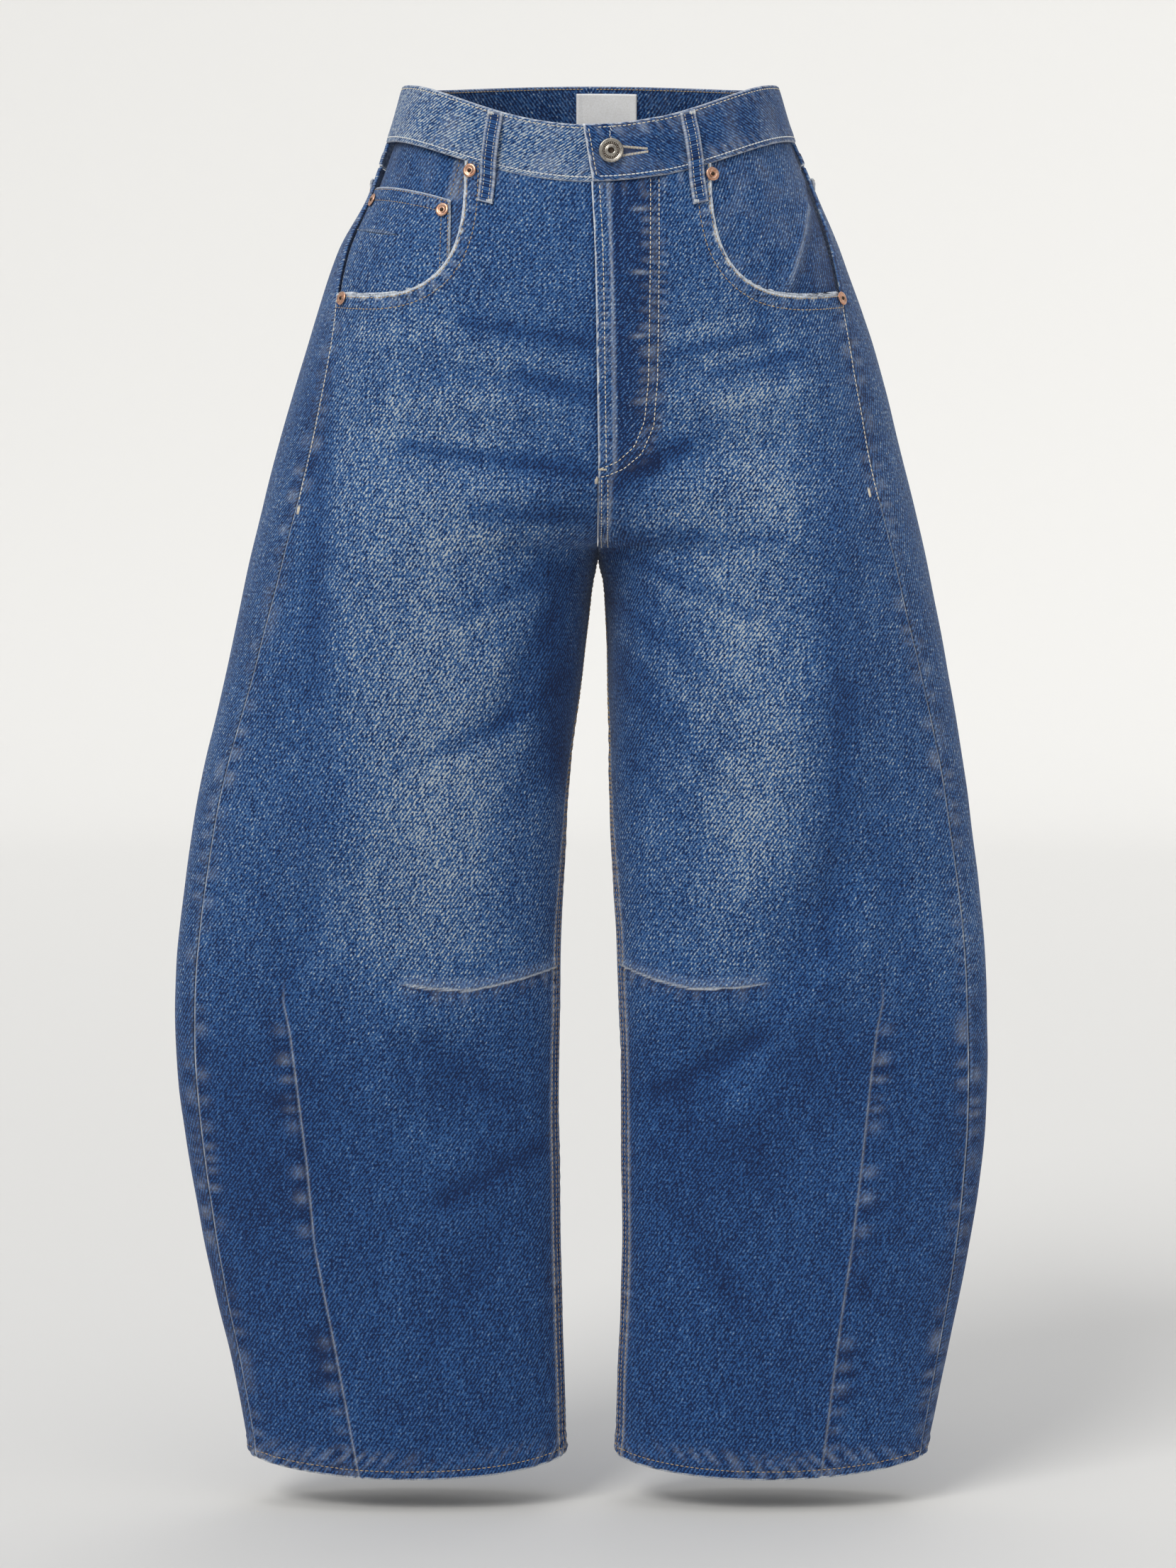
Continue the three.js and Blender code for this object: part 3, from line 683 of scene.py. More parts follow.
def denim(name, tones, yarn, contrast=1.0):
    """Washed cotton denim: a 3/1 twill whose pale core shows where the indigo has rubbed off.

    It is matt and soft, with uneven yarns that give long streaks down the warp and shorter ones
    across. The real twill is 1.2 mm a rib, too fine to show, so the ribs are drawn 2.2 mm apart.
    """
    material, tree, shader = new_material(name)
    uv = add_node(tree, "ShaderNodeUVMap", uv_map="cloth").outputs["UV"]
    wash = add_node(tree, "ShaderNodeAttribute", attribute_name="wash")
    parts = add_node(tree, "ShaderNodeSeparateColor", {"Color": wash.outputs["Color"]})

    def yarns(across, along, detail, rough=0.6):
        scaled = add_node(
            tree, "ShaderNodeMapping", {"Vector": uv, "Scale": per_mm(across, along, 1000)}
        )
        return add_node(
            tree,
            "ShaderNodeTexNoise",
            {"Vector": scaled.outputs[0], "Scale": 1, "Detail": detail, "Roughness": rough},
        ).outputs["Fac"]

    def add_scaled(total, value, amount):
        return add_node(
            tree,
            "ShaderNodeMath",
            {0: value, 1: amount, 2: total},
            operation="MULTIPLY_ADD",
        ).outputs[0]

    ribs_at = add_node(
        tree,
        "ShaderNodeMapping",
        {"Vector": uv, "Rotation": (0, 0, math.radians(36)), "Scale": per_mm(7.0, 7.0, 1000)},
    )
    ribs = add_node(
        tree,
        "ShaderNodeTexWave",
        {"Vector": ribs_at.outputs[0], "Scale": 1, "Distortion": 1.4, "Detail": 1.5},
    ).outputs["Fac"]
    speckle = yarns(1.9, 2.1, 2, 0.7)
    dashes = add_node(tree, "ShaderNodeMath", {0: ribs, 1: speckle}, operation="MULTIPLY").outputs[0]
    layers = (
        (yarns(1.6, 16, 2), 0.65),
        (yarns(11, 1.6, 2), 0.50),
        (speckle, 1.30),
        (yarns(14, 60, 3), 0.24),
        (yarns(60, 90, 2), 0.20),
        (dashes, 0.80),
    )
    grain = 0.0
    for value, amount in layers:
        grain = add_scaled(grain, value, amount * contrast)
    middle = contrast * (0.5 * sum(amount for _, amount in layers) - 0.2)
    grain = add_node(tree, "ShaderNodeMath", {0: grain, 1: middle}, operation="SUBTRACT").outputs[0]
    # The pale core shows more, yarn by yarn, where the dye is thinner
    strength = add_scaled(0.3, parts.outputs["Red"], 0.75)
    grain = add_node(tree, "ShaderNodeMath", {0: grain, 1: strength}, operation="MULTIPLY").outputs[0]
    # The tone follows the fade and the dye, and with them the painted shade and painted highlight that they
    # carry
    tone = add_scaled(parts.outputs["Red"], grain, 1.0)
    tone = add_scaled(tone, parts.outputs["Blue"], -0.55)
    at_ramp = add_node(tree, "ShaderNodeMath", {0: tone, 1: 1.4}, operation="DIVIDE").outputs[0]
    ramp = add_node(tree, "ShaderNodeValToRGB", {"Fac": at_ramp})
    stops = ramp.color_ramp.elements
    stops[0].position, stops[0].color = 0.0, linear(tones[0])
    stops[1].position, stops[1].color = 1.0, linear(tones[-1])
    for position, tone_colour in zip((0.143, 0.32, 0.53, 0.75), tones[1:-1]):
        stops.new(position).color = linear(tone_colour)
    rub = add_scaled(0.0, yarns(1.1, 2.4, 2), 1.1)
    rub = add_node(tree, "ShaderNodeMath", {0: parts.outputs["Green"], 1: rub}, operation="MULTIPLY")
    rub = add_node(tree, "ShaderNodeMath", {0: rub.outputs[0], 1: 1.0}, operation="MINIMUM")
    colour = add_node(
        tree,
        "ShaderNodeMix",
        {0: rub.outputs[0], 6: ramp.outputs["Color"], 7: linear(yarn)},
        data_type="RGBA",
    )
    tree.links.new(colour.outputs[2], shader.inputs["Base Color"])
    height = add_scaled(add_scaled(ribs, yarns(0.9, 10, 2), 1.2), speckle, 0.9)
    bump = add_node(tree, "ShaderNodeBump", {"Height": height, "Strength": 0.35, "Distance": 0.5 * MM})
    tree.links.new(bump.outputs[0], shader.inputs["Normal"])
    shader.inputs["Roughness"].default_value = 0.9
    shader.inputs["Specular IOR Level"].default_value = 0.25
    shader.inputs["Sheen Weight"].default_value = 0.12
    shader.inputs["Sheen Roughness"].default_value = 0.5
    return material


def mottled(name, first, second, size, rough, metallic=0.0, bump=0.0):
    """Two tones in soft spots of a real size, for thread, tape and tarnished metal."""
    material, tree, shader = new_material(name)
    place = add_node(tree, "ShaderNodeTexCoord").outputs["Object"]
    spots = add_node(
        tree,
        "ShaderNodeTexNoise",
        {"Vector": place, "Scale": per_mm(size)[0], "Detail": 3, "Roughness": 0.6},
    ).outputs["Fac"]
    wide = add_node(
        tree,
        "ShaderNodeMapRange",
        {"Value": spots, "From Min": 0.32, "From Max": 0.68},
    ).outputs[0]
    colour = add_node(
        tree, "ShaderNodeMix", {0: wide, 6: linear(first), 7: linear(second)}, data_type="RGBA"
    )
    tree.links.new(colour.outputs[2], shader.inputs["Base Color"])
    if bump:
        raised_spots = add_node(
            tree, "ShaderNodeBump", {"Height": spots, "Strength": 0.5, "Distance": bump * MM}
        )
        tree.links.new(raised_spots.outputs[0], shader.inputs["Normal"])
    shader.inputs["Roughness"].default_value = rough
    shader.inputs["Metallic"].default_value = metallic
    return material


INDIGO = ("#0b2148", "#183c6f", "#28548c", "#406796", "#7489a3", "#b6bdc0")
WRONG_SIDE = ("#2b4066", "#3f5880", "#5e7599", "#8093b0", "#a5b2c2", "#cfd5d9")
DENIM_OUT = denim("washed_indigo_denim", INDIGO, "#dfe4e8", 2.8)
DENIM_IN = denim("denim_wrong_side", WRONG_SIDE, "#d3dae4", 2.4)
BAND_OUT = denim("folded_waistband_denim", INDIGO, "#e2e6ea", 2.8)
CREAM = mottled("cream_polyester_core_thread", "#d9cbb0", "#efe6d3", 3, 0.7)
TAN = mottled("tan_topstitch_thread", "#9c8463", "#c4ab84", 4, 0.7)
CORD = mottled("bleached_chainstitch_thread", "#c9d0d8", "#eceae4", 5, 0.75)
# Pressed copper in two tones, tarnished in its hollows
COPPER = mottled("pressed_copper", "#bd8468", "#e4bfa8", 2.2, 0.34, 1.0, 0.15)
# Cast zinc alloy plated with nickel, aged brown, with a soft shine
PEWTER = mottled("aged_nickel_plate", "#7d776f", "#c4beb4", 1.2, 0.3, 1.0, 0.15)
TAPE = mottled("woven_polyester_tape", "#f1f0ee", "#ffffff", 1.2, 0.6, 0.0, 0.1)


# Seams that are sewn once all the cloth is in place
Row = namedtuple("Row", "line surfaces thread pitch stitch thick")
ROWS = []


def sew(line, surfaces, thread="tan", pitch=3.3, stitch=2.5, thick=0.75):
    ROWS.append(Row(line, surfaces, thread, pitch, stitch, thick))


def keeping(side, angle, level, away, distance, rows=slice(None)):
    """The line that keeps one distance from an edge, across the rows of a grid."""
    spots = []
    for a, l, d in zip(angle[rows], level[rows], away[rows]):
        order = slice(None) if d[-1] > d[0] else slice(None, None, -1)
        spots.append((np.interp(distance, d[order], a[order]), np.interp(distance, d[order], l[order])))
    spots = np.array(spots)
    return line_of(side, spots[:, 0], spots[:, 1])


# Cloth pieces

def seam_edge(relief, away, along, seed, rub=1.2):
    """A plain seam: the cloth rolls into it, over the allowance beneath."""
    relief.out -= 1.0 * bell(away, 0.9)
    uneven = np.clip(0.85 + 0.45 * ripple(along, 21, seed), 0.3, 1.3)
    relief.out += 0.4 * bell(away - 2.2, 1.5)
    relief.rubbed += rub * uneven * bell(away - 1.0, 0.9)
    relief.dye_and_shade += 0.14 * bell(away - 6, 4) * (1 + ripple(along, 33, seed + 3))
    relief.pucker(away - 6, along, 5, 0.08, 17, seed)


def felled_edge(relief, away, along, seed, width=8.0, rub=0.4):
    """A lapped seam: a raised strip with two rows of stitches in it."""
    relief.out -= 0.8 * bell(away, 0.9)
    relief.out += 0.55 * (1 - smoothstep(away, width - 0.6, width + 0.8))
    relief.ridge(away - width + 0.6, 1.0, 0.25, rub)
    relief.pucker(away - width / 2, along, width * 0.7, 0.32, 7.5, seed)
    relief.dye_and_shade += 0.15 * bell(away - width - 1.2, 1.3)


def hem_relief(relief, from_hem, along, seed):
    """A turned hem, roped: its puckers lean because the layers crept apart as they were sewn."""
    relief.out += 0.6 * (1 - smoothstep(from_hem, 11, 13.5))
    relief.groove(from_hem - 6.2, 1.1, 0.3, 0.1)
    leaning = along + 0.9 * from_hem
    relief.pucker(from_hem - 5, leaning, 7, 0.65, 11, seed)
    relief.pucker(from_hem - 15, leaning, 5, 0.25, 12, seed + 1)
    relief.fray(from_hem, along, 1.0, seed)
    relief.out -= 0.8 * bell(from_hem, 0.7)


def soft_uneven(relief):
    relief.out += 0.9 * rumple(relief.points, 85, 3.1) + 0.45 * rumple(relief.points, 34, 7.7)


def front_columns(side, level):
    """Places across the front, with one column along the outer dart."""
    dart = np.array(OUTER_DARTS[side.name], float)
    low = np.minimum(level, -640)
    x = side.sign * np.interp(-low, -dart[:, 0], dart[:, 1])
    share = (angle_at_x(side, FRONT, x, low) - centre_edge(side, FRONT, low)) / (
        side_edge(side, FRONT, low) - centre_edge(side, FRONT, low)
    )
    inner = spread(0, 1, 60, ((0, 0.08, 3), (1, 0.03, 4)))
    outer = spread(0, 1, 34, ((0, 0.08, 4), (1, 0.06, 5)))
    share = share[:, None]
    places = np.concatenate([share * inner[None], share + (1 - share) * outer[None, 1:]], axis=1)
    return places, len(inner) - 1


def front_panel(side):
    top = BAND_BOTTOM - SEAM
    t = np.linspace(0, 1, 62)[:-1]
    pocket_angle, pocket_level = pocket_edge(side, t)
    below = spread(POCKET_BOTTOM, HEM, 235, ((-626, 14, 3), (HEM, 22, 4), (POCKET_BOTTOM, 12, 2)))
    centre_level = np.concatenate([[top + 1.5], top + (POCKET_BOTTOM - top) * t, below])
    edge_level = np.concatenate([[top + 1.5], pocket_level, below])
    edge_angle = np.concatenate([pocket_angle[:1], pocket_angle, side_edge(side, FRONT, below)])
    centre_angle = centre_edge(side, FRONT, centre_level)
    tuck = np.zeros_like(centre_level)
    if side is RIGHT:
        tuck = 7.0 * smoothstep(centre_level, FLY_BOTTOM - 12, FLY_BOTTOM - 4)
        under = angle_at_x(side, FRONT, section(side, centre_level)[0] + tuck, centre_level)
        centre_angle = np.where(tuck > 0, under, centre_angle)
    places, dart_col = front_columns(side, edge_level)
    angle = centre_angle[:, None] + (edge_angle - centre_angle)[:, None] * places
    level = centre_level[:, None] + (edge_level - centre_level)[:, None] * places
    points = skin(side, angle, level)
    relief = Relief(points)
    from_centre = lengths(points, 1) - tuck[:, None]
    from_side = lengths(points, 1)[:, -1:] - lengths(points, 1)
    from_hem = lengths(points, 0)[-1:] - lengths(points, 0)
    x, z = points[..., 0], points[..., 2]
    far = 1e3
    name = f"front_{side.name}"

    soft_uneven(relief)
    side_away = np.where(level < POCKET_BOTTOM + 0.5, from_side, far)
    seam_edge(relief, side_away, -level, 1.0 + side.sign)
    leg_away = np.where(level < CROTCH, from_centre, far)
    felled_edge(relief, leg_away, -level, 4.0 + side.sign)
    hem_relief(relief, from_hem, from_centre, 2.0 + side.sign)

    # Waist seam
    from_top = lengths(points, 0)
    relief.out -= 0.7 * bell(from_top, 1.5)
    relief.pucker(from_top - 5, from_centre, 5, 0.3, 10, 5.0 + side.sign)

    # Pocket opening
    mouth_angle, mouth_level = pocket_edge(side, np.linspace(0, 1, 160))
    mouth = line_of(side, mouth_angle, mouth_level)
    away, along = nearness(points, mouth, 40)
    relief.out += 0.55 * (1 - smoothstep(away, 11, 13)) - 0.9 * bell(away, 0.7)
    relief.fray(away, along, 2.4, 6.0 + side.sign)
    relief.pucker(away - 6, along, 4.5, 0.45, 7.5, 7.0 + side.sign)
    relief.groove(away - 10.3, 0.9, 0.25, 0.15)
    inwards = -side.sign
    sew(inset(mouth, inwards * 2.4), [name], "tan")
    sew(inset(mouth, inwards * 10.3), [name], "tan")

    # Knee dart
    dart = np.array(KNEE_DARTS[side.name], float)
    knee_x = np.interp(np.linspace(0, 1, 60), np.linspace(0, 1, len(dart)), dart[:, 0]) * side.sign
    knee_level = np.interp(np.linspace(0, 1, 60), np.linspace(0, 1, len(dart)), dart[:, 1])
    knee = line_of(side, angle_at_x(side, FRONT, knee_x, knee_level), knee_level)
    away, along = nearness(points, knee, 30)
    fading = 1 - smoothstep(along, along.max() - 16, along.max())
    line_level = np.interp(np.abs(x), np.abs(knee_x), knee_level)
    above = np.where(z > line_level, away, -away)
    near = fading * (away < 100)
    relief.out += near * (0.8 * bell(above - 3.2, 2.6) - 1.1 * bell(above + 0.4, 1.0))
    relief.rubbed += near * (1.15 * bell(above - 0.8, 0.75) + 0.12 * bell(above - 4, 4))
    # Below the dart's fold the cloth is painted darker: painted shadow under the fold
    relief.dye_and_shade += near * (0.8 * bell(above + 1.2, 1.3) + 0.25 * bell(above + 6, 5))
    relief.pucker(np.where(near > 0.3, above + 4, far), along, 5, 0.3, 12, 8.0)

    # Outer dart
    signed = from_centre - from_centre[:, [dart_col]]
    started = smoothstep(-level, 618, 655)
    relief.out += started * (0.5 * bell(signed + 2.5, 2.2) - 1.1 * bell(signed, 1.0))
    relief.out += started * 0.45 * smoothstep(signed, 0.5, 2) * (1 - smoothstep(signed, 10, 14))
    relief.rubbed += started * (0.5 + 0.16 * ripple(-level, 19, 4.0)) * bell(signed + 0.8, 0.75)
    blotch = np.clip(ripple(-level, 37, 3.0 + side.sign), -0.2, 1) * bell(signed - 11, 7)
    relief.dye_and_shade += started * (0.55 * blotch + 0.35 * bell(signed - 1.3, 1.2))
    relief.pucker(np.where(started > 0.3, signed - 5, far), -level, 5, 0.07, 19, 9.0)

    # Fly and centre front seam
    if side is LEFT:
        add_fly(relief, from_centre, level, x, z, name)
    else:
        on_fly = smoothstep(level, FLY_BOTTOM - 10, FLY_BOTTOM)
        relief.out -= on_fly * 0.5 * bell(np.minimum(from_centre, 0) - 0, 2) * (from_centre < 1)
        relief.out -= (1 - on_fly) * (level > CROTCH) * 0.9 * bell(from_centre, 0.9)
        relief.dye_and_shade += on_fly * 0.35 * bell(from_centre, 3)

    rows = slice(None)
    side_rows = np.flatnonzero((level[:, -1] < POCKET_BOTTOM - 4) & (level[:, -1] > -292))
    sew(keeping(side, angle, level, from_side, 2.6, side_rows), [name], "cream")
    leg_rows = np.flatnonzero(level[:, 0] < CROTCH - 4)
    sew(keeping(side, angle, level, from_centre, 2.2, leg_rows), [name], "tan")
    sew(keeping(side, angle, level, from_centre, 7.0, leg_rows), [name], "tan")
    sew(keeping(side, angle.T, level.T, from_hem.T, 6.2, rows), [name], "tan", 3.6, 2.7)
    return lay(name, side, angle, level, relief, DENIM_OUT, hem=12)


def add_fly(relief, from_centre, level, x, z, name):
    """The fly: the left front laps over the right, above hidden buttons, with a curved double row."""
    on_fly = smoothstep(level, FLY_BOTTOM - 14, FLY_BOTTOM - 2)
    relief.out += on_fly * 1.9 * (1 - smoothstep(from_centre, 38, 44))
    relief.out -= 0.8 * bell(from_centre, 0.8)
    relief.out += on_fly * 0.5 * bell(from_centre - 11.5, 1.3)
    relief.rubbed += on_fly * 0.6 * bell(from_centre - 11.2, 0.8)
    relief.dye_and_shade += on_fly * 0.3 * bell(from_centre - 14.5, 1.8)
    # Between the fly's edge strip and its curved stitching the cloth is darker: partly kept dye, partly
    # painted shade
    relief.dye_and_shade += on_fly * 0.65 * smoothstep(from_centre, 12, 16) * (1 - smoothstep(from_centre, 34, 50))
    edge = np.where(level > FLY_BOTTOM - 8, from_centre, 1e3)
    relief.fray(edge, -level, 1.0, 11.0)
    relief.pucker(edge - 6, -level, 4, 0.4, 8.5, 12.0)
    for mark in (-94, -136.5, -179, -222):
        relief.out += 1.0 * bell(x - 27, 9) * bell(z - mark, 8)
        relief.out += 0.5 * bell(x - 34.5, 5) * bell(z - mark, 1.4)
        relief.rubbed += 0.5 * bell(x - 34.5, 4.5) * bell(z - mark - 0.5, 1.3)
    for stitched, offset in ((J_OUTER, 0.0), (J_INNER, 1.0)):
        line = front_line(LEFT, stitched)
        away, along = nearness(relief.points, line, 14)
        relief.groove(away, 1.1, 0.35, 0.2)
        relief.pucker(away - 3, along, 3, 0.05, 9, 13.0 + offset)
        sew(line, [name], "cream")
    below = np.where((level < FLY_BOTTOM - 8) & (level > CROTCH), from_centre, 1e3)
    relief.out += 0.7 * (1 - smoothstep(below, 8, 9.5))
    relief.rubbed += 0.3 * bell(below - 8.4, 1) + 0.4 * bell(below, 1)
    relief.pucker(below - 5, -level, 5, 0.3, 7, 15.0)
    levels = np.linspace(BAND_BOTTOM - 2, FLY_BOTTOM, 80)
    strip = section(LEFT, levels)[0] + 5.6
    sew(line_of(LEFT, angle_at_x(LEFT, FRONT, strip, levels), levels), [name], "cream")
    levels = np.linspace(FLY_BOTTOM - 12, CROTCH + 1, 40)
    for inside in (2.4, 6.6):
        seam_x = section(LEFT, levels)[0] + inside
        sew(line_of(LEFT, angle_at_x(LEFT, FRONT, seam_x, levels), levels), [name], "cream")


# The curved double row round the fly: x and z
J_OUTER = ((48.2, -46), (48.1, -119), (47.6, -167), (46.7, -210), (44.4, -239), (36.2, -258),
           (24.3, -268), (12.3, -273), (3.5, -274.5))
J_INNER = ((42.4, -46), (41.9, -119), (41.4, -167), (40.5, -210), (38.1, -236), (31.4, -253),
           (20.4, -263), (9.8, -267.6), (3.5, -269))


def front_line(side, places, face=FRONT):
    """A smooth line on the cloth through places given by x and z."""
    places = np.array(places, float)
    run = np.concatenate([[0], np.cumsum(np.hypot(*np.diff(places, axis=0).T))])
    at = np.linspace(0, run[-1], max(int(run[-1] / 3), 2))
    x, z = np.interp(at, run, places[:, 0]), np.interp(at, run, places[:, 1])
    level = z.copy()
    for _ in range(12):
        angle = angle_at_x(side, face, x, level)
        level += z - skin(side, angle, level)[:, 2]
    return line_of(side, angle, level)


def back_grid(side, upper, lower, places, shares):
    angle, level = [], []
    for t in shares:
        at = lambda a: upper(a) + (lower(a) - upper(a)) * t
        outer = side_edge(side, BACK, at(0.0))
        inner = centre_edge(side, BACK, at(math.pi / 2))
        row = outer + (inner - outer) * places
        angle.append(row)
        level.append(at(row) * np.ones_like(row))
    return np.array(angle), np.array(level)


BACK_PLACES = spread(0, 1, 104, ((0, 0.03, 6), (1, 0.04, 4)))


def yoke(side):
    top = lambda a: BAND_BOTTOM - SEAM + 1.5 + 0 * a
    bottom = lambda a: yoke_seam(a) + SEAM / 2
    angle, level = back_grid(side, top, bottom, BACK_PLACES, spread(0, 1, 22, ((1, 0.1, 2),)))
    points = skin(side, angle, level)
    relief = Relief(points)
    soft_uneven(relief)
    from_side = lengths(points, 1)
    from_centre = from_side[:, -1:] - from_side
    from_top = lengths(points, 0)
    from_seam = from_top[-1:] - from_top
    seam_edge(relief, from_side, -level, 21.0, 0.1)
    seat_seam(relief, side, from_centre, -level)
    relief.out -= 0.7 * bell(from_top, 1.5)
    relief.out += 0.5 * (1 - smoothstep(from_seam, 8.5, 10)) - 0.8 * bell(from_seam, 0.8)
    relief.fray(from_seam, from_side, 0.9, 22.0)
    relief.pucker(from_seam - 5, from_side, 5, 0.35, 8, 23.0 + side.sign)
    name = f"yoke_{side.name}"
    for distance in (1.8, 8.0):
        sew(keeping(side, angle.T, level.T, from_seam.T, distance), [name], "tan")
    return lay(name, side, angle, level, relief, DENIM_OUT)


def seat_seam(relief, side, from_centre, along):
    """The centre back seam: the left side lies over the right one, double stitched."""
    above = np.where(relief.points[..., 2] > CROTCH, from_centre, 1e3)
    if side is LEFT:
        felled_edge(relief, above, along, 24.0, 9.0, 0.5)
    else:
        seam_edge(relief, above, along, 25.0, 0.1)


def back_panel(side):
    top = lambda a: yoke_seam(a) - SEAM / 2
    upper = back_grid(side, top, lambda a: POCKET_BOTTOM + 0 * a, BACK_PLACES, np.linspace(0, 1, 48)[:-1])
    below = spread(POCKET_BOTTOM, HEM, 225, ((HEM, 22, 4), (CROTCH, 40, 1)))
    outer, inner = side_edge(side, BACK, below), centre_edge(side, BACK, below)
    lower = outer[:, None] + (inner - outer)[:, None] * BACK_PLACES
    angle = np.concatenate([upper[0], lower])
    level = np.concatenate([upper[1], below[:, None] * np.ones_like(lower)])
    points = skin(side, angle, level)
    relief = Relief(points)
    soft_uneven(relief)
    from_side = lengths(points, 1)
    from_centre = from_side[:, -1:] - from_side
    from_top = lengths(points, 0)
    from_hem = from_top[-1:] - from_top
    seam_edge(relief, from_side, -level, 26.0 + side.sign, 0.12)
    seat_seam(relief, side, from_centre, -level)
    felled_edge(relief, np.where(level < CROTCH, from_centre, 1e3), -level, 27.0 + side.sign)
    hem_relief(relief, from_hem, from_side, 28.0 + side.sign)
    relief.out -= 0.9 * bell(from_top, 1.0)
    relief.dye_and_shade += 0.3 * bell(from_top, 2)
    name = f"back_{side.name}"
    seat_rows = np.flatnonzero(level[:, -1] > CROTCH + 2)
    leg_rows = np.flatnonzero(level[:, -1] < CROTCH - 4)
    if side is LEFT:
        for distance in (2.2, 8.0):
            sew(keeping(side, angle, level, from_centre, distance, seat_rows), [name, "yoke_left"], "tan")
    sew(keeping(side, angle, level, from_centre, 2.2, leg_rows), [name], "tan")
    sew(keeping(side, angle.T, level.T, from_hem.T, 6.2), [name], "tan", 3.6, 2.7)
    return lay(name, side, angle, level, relief, DENIM_OUT, hem=12)


# Waistband, pockets, loops and label

def strip_profile(width, thick, across=16, inside=7, corner=3):
    """The closed outline of a folded strip: place along its width, and depth from its middle."""
    radius = thick / 2
    arc = np.linspace(0, math.pi, 2 * corner + 1)[1:-1]
    outer = spread(radius, width - radius, across, ((radius, 3, 2), (width - radius, 3, 2)))
    inner = np.linspace(width - radius, radius, inside)
    place = [outer, width - radius + radius * np.sin(arc), inner, radius - radius * np.sin(arc)]
    depth = [radius + 0 * outer, radius * np.cos(arc), -radius + 0 * inner, -radius * np.cos(arc)]
    place.append(outer[:1])
    depth.append([radius])
    return np.concatenate(place), np.concatenate(depth)


def rounded_end(away, radius):
    """How much of its thickness a strip keeps near its end."""
    return np.sqrt(1 - (1 - np.clip(away / radius, 0.02, 1)) ** 2)


def lay_closed(name, points, plain, relief, material, shade=0.0, v=None):
    """A folded strip: a grid whose last row meets its first, closed at both ends."""
    run = lengths(plain, 1)
    height = lengths(plain, 0) if v is None else v * np.ones_like(run)
    cloth_uv = np.stack([run, height], -1)
    wash = wash_and_shade_of(plain, relief.rubbed, relief.dye_and_shade, shade)
    mesh = grid_mesh(name + "_cloth", points, cloth_uv, wash, closed=True)
    piece = finish_object(name + "_cloth", mesh, material, (name,))
    SURFACES[name] = tree_of(points)
    return piece


TAB_END = (-3.5, 3.0)       # x of the tab's slanting end, at its top and at its bottom
UNDERLAP_END = 38
TAB_RAMP = (42, 54)
BAND_THICK = BAND_PROUD + BAND_DEEP


def tab_lift(side, angle, level):
    """The left half of the waistband steps up over the right half."""
    if side is RIGHT:
        return np.zeros(np.broadcast(angle, level).shape)
    x = skin(side, angle, level)[..., 0]
    return (BAND_THICK + SEAM) * (1 - smoothstep(x, *TAB_RAMP)) * (np.sin(angle) < 0)


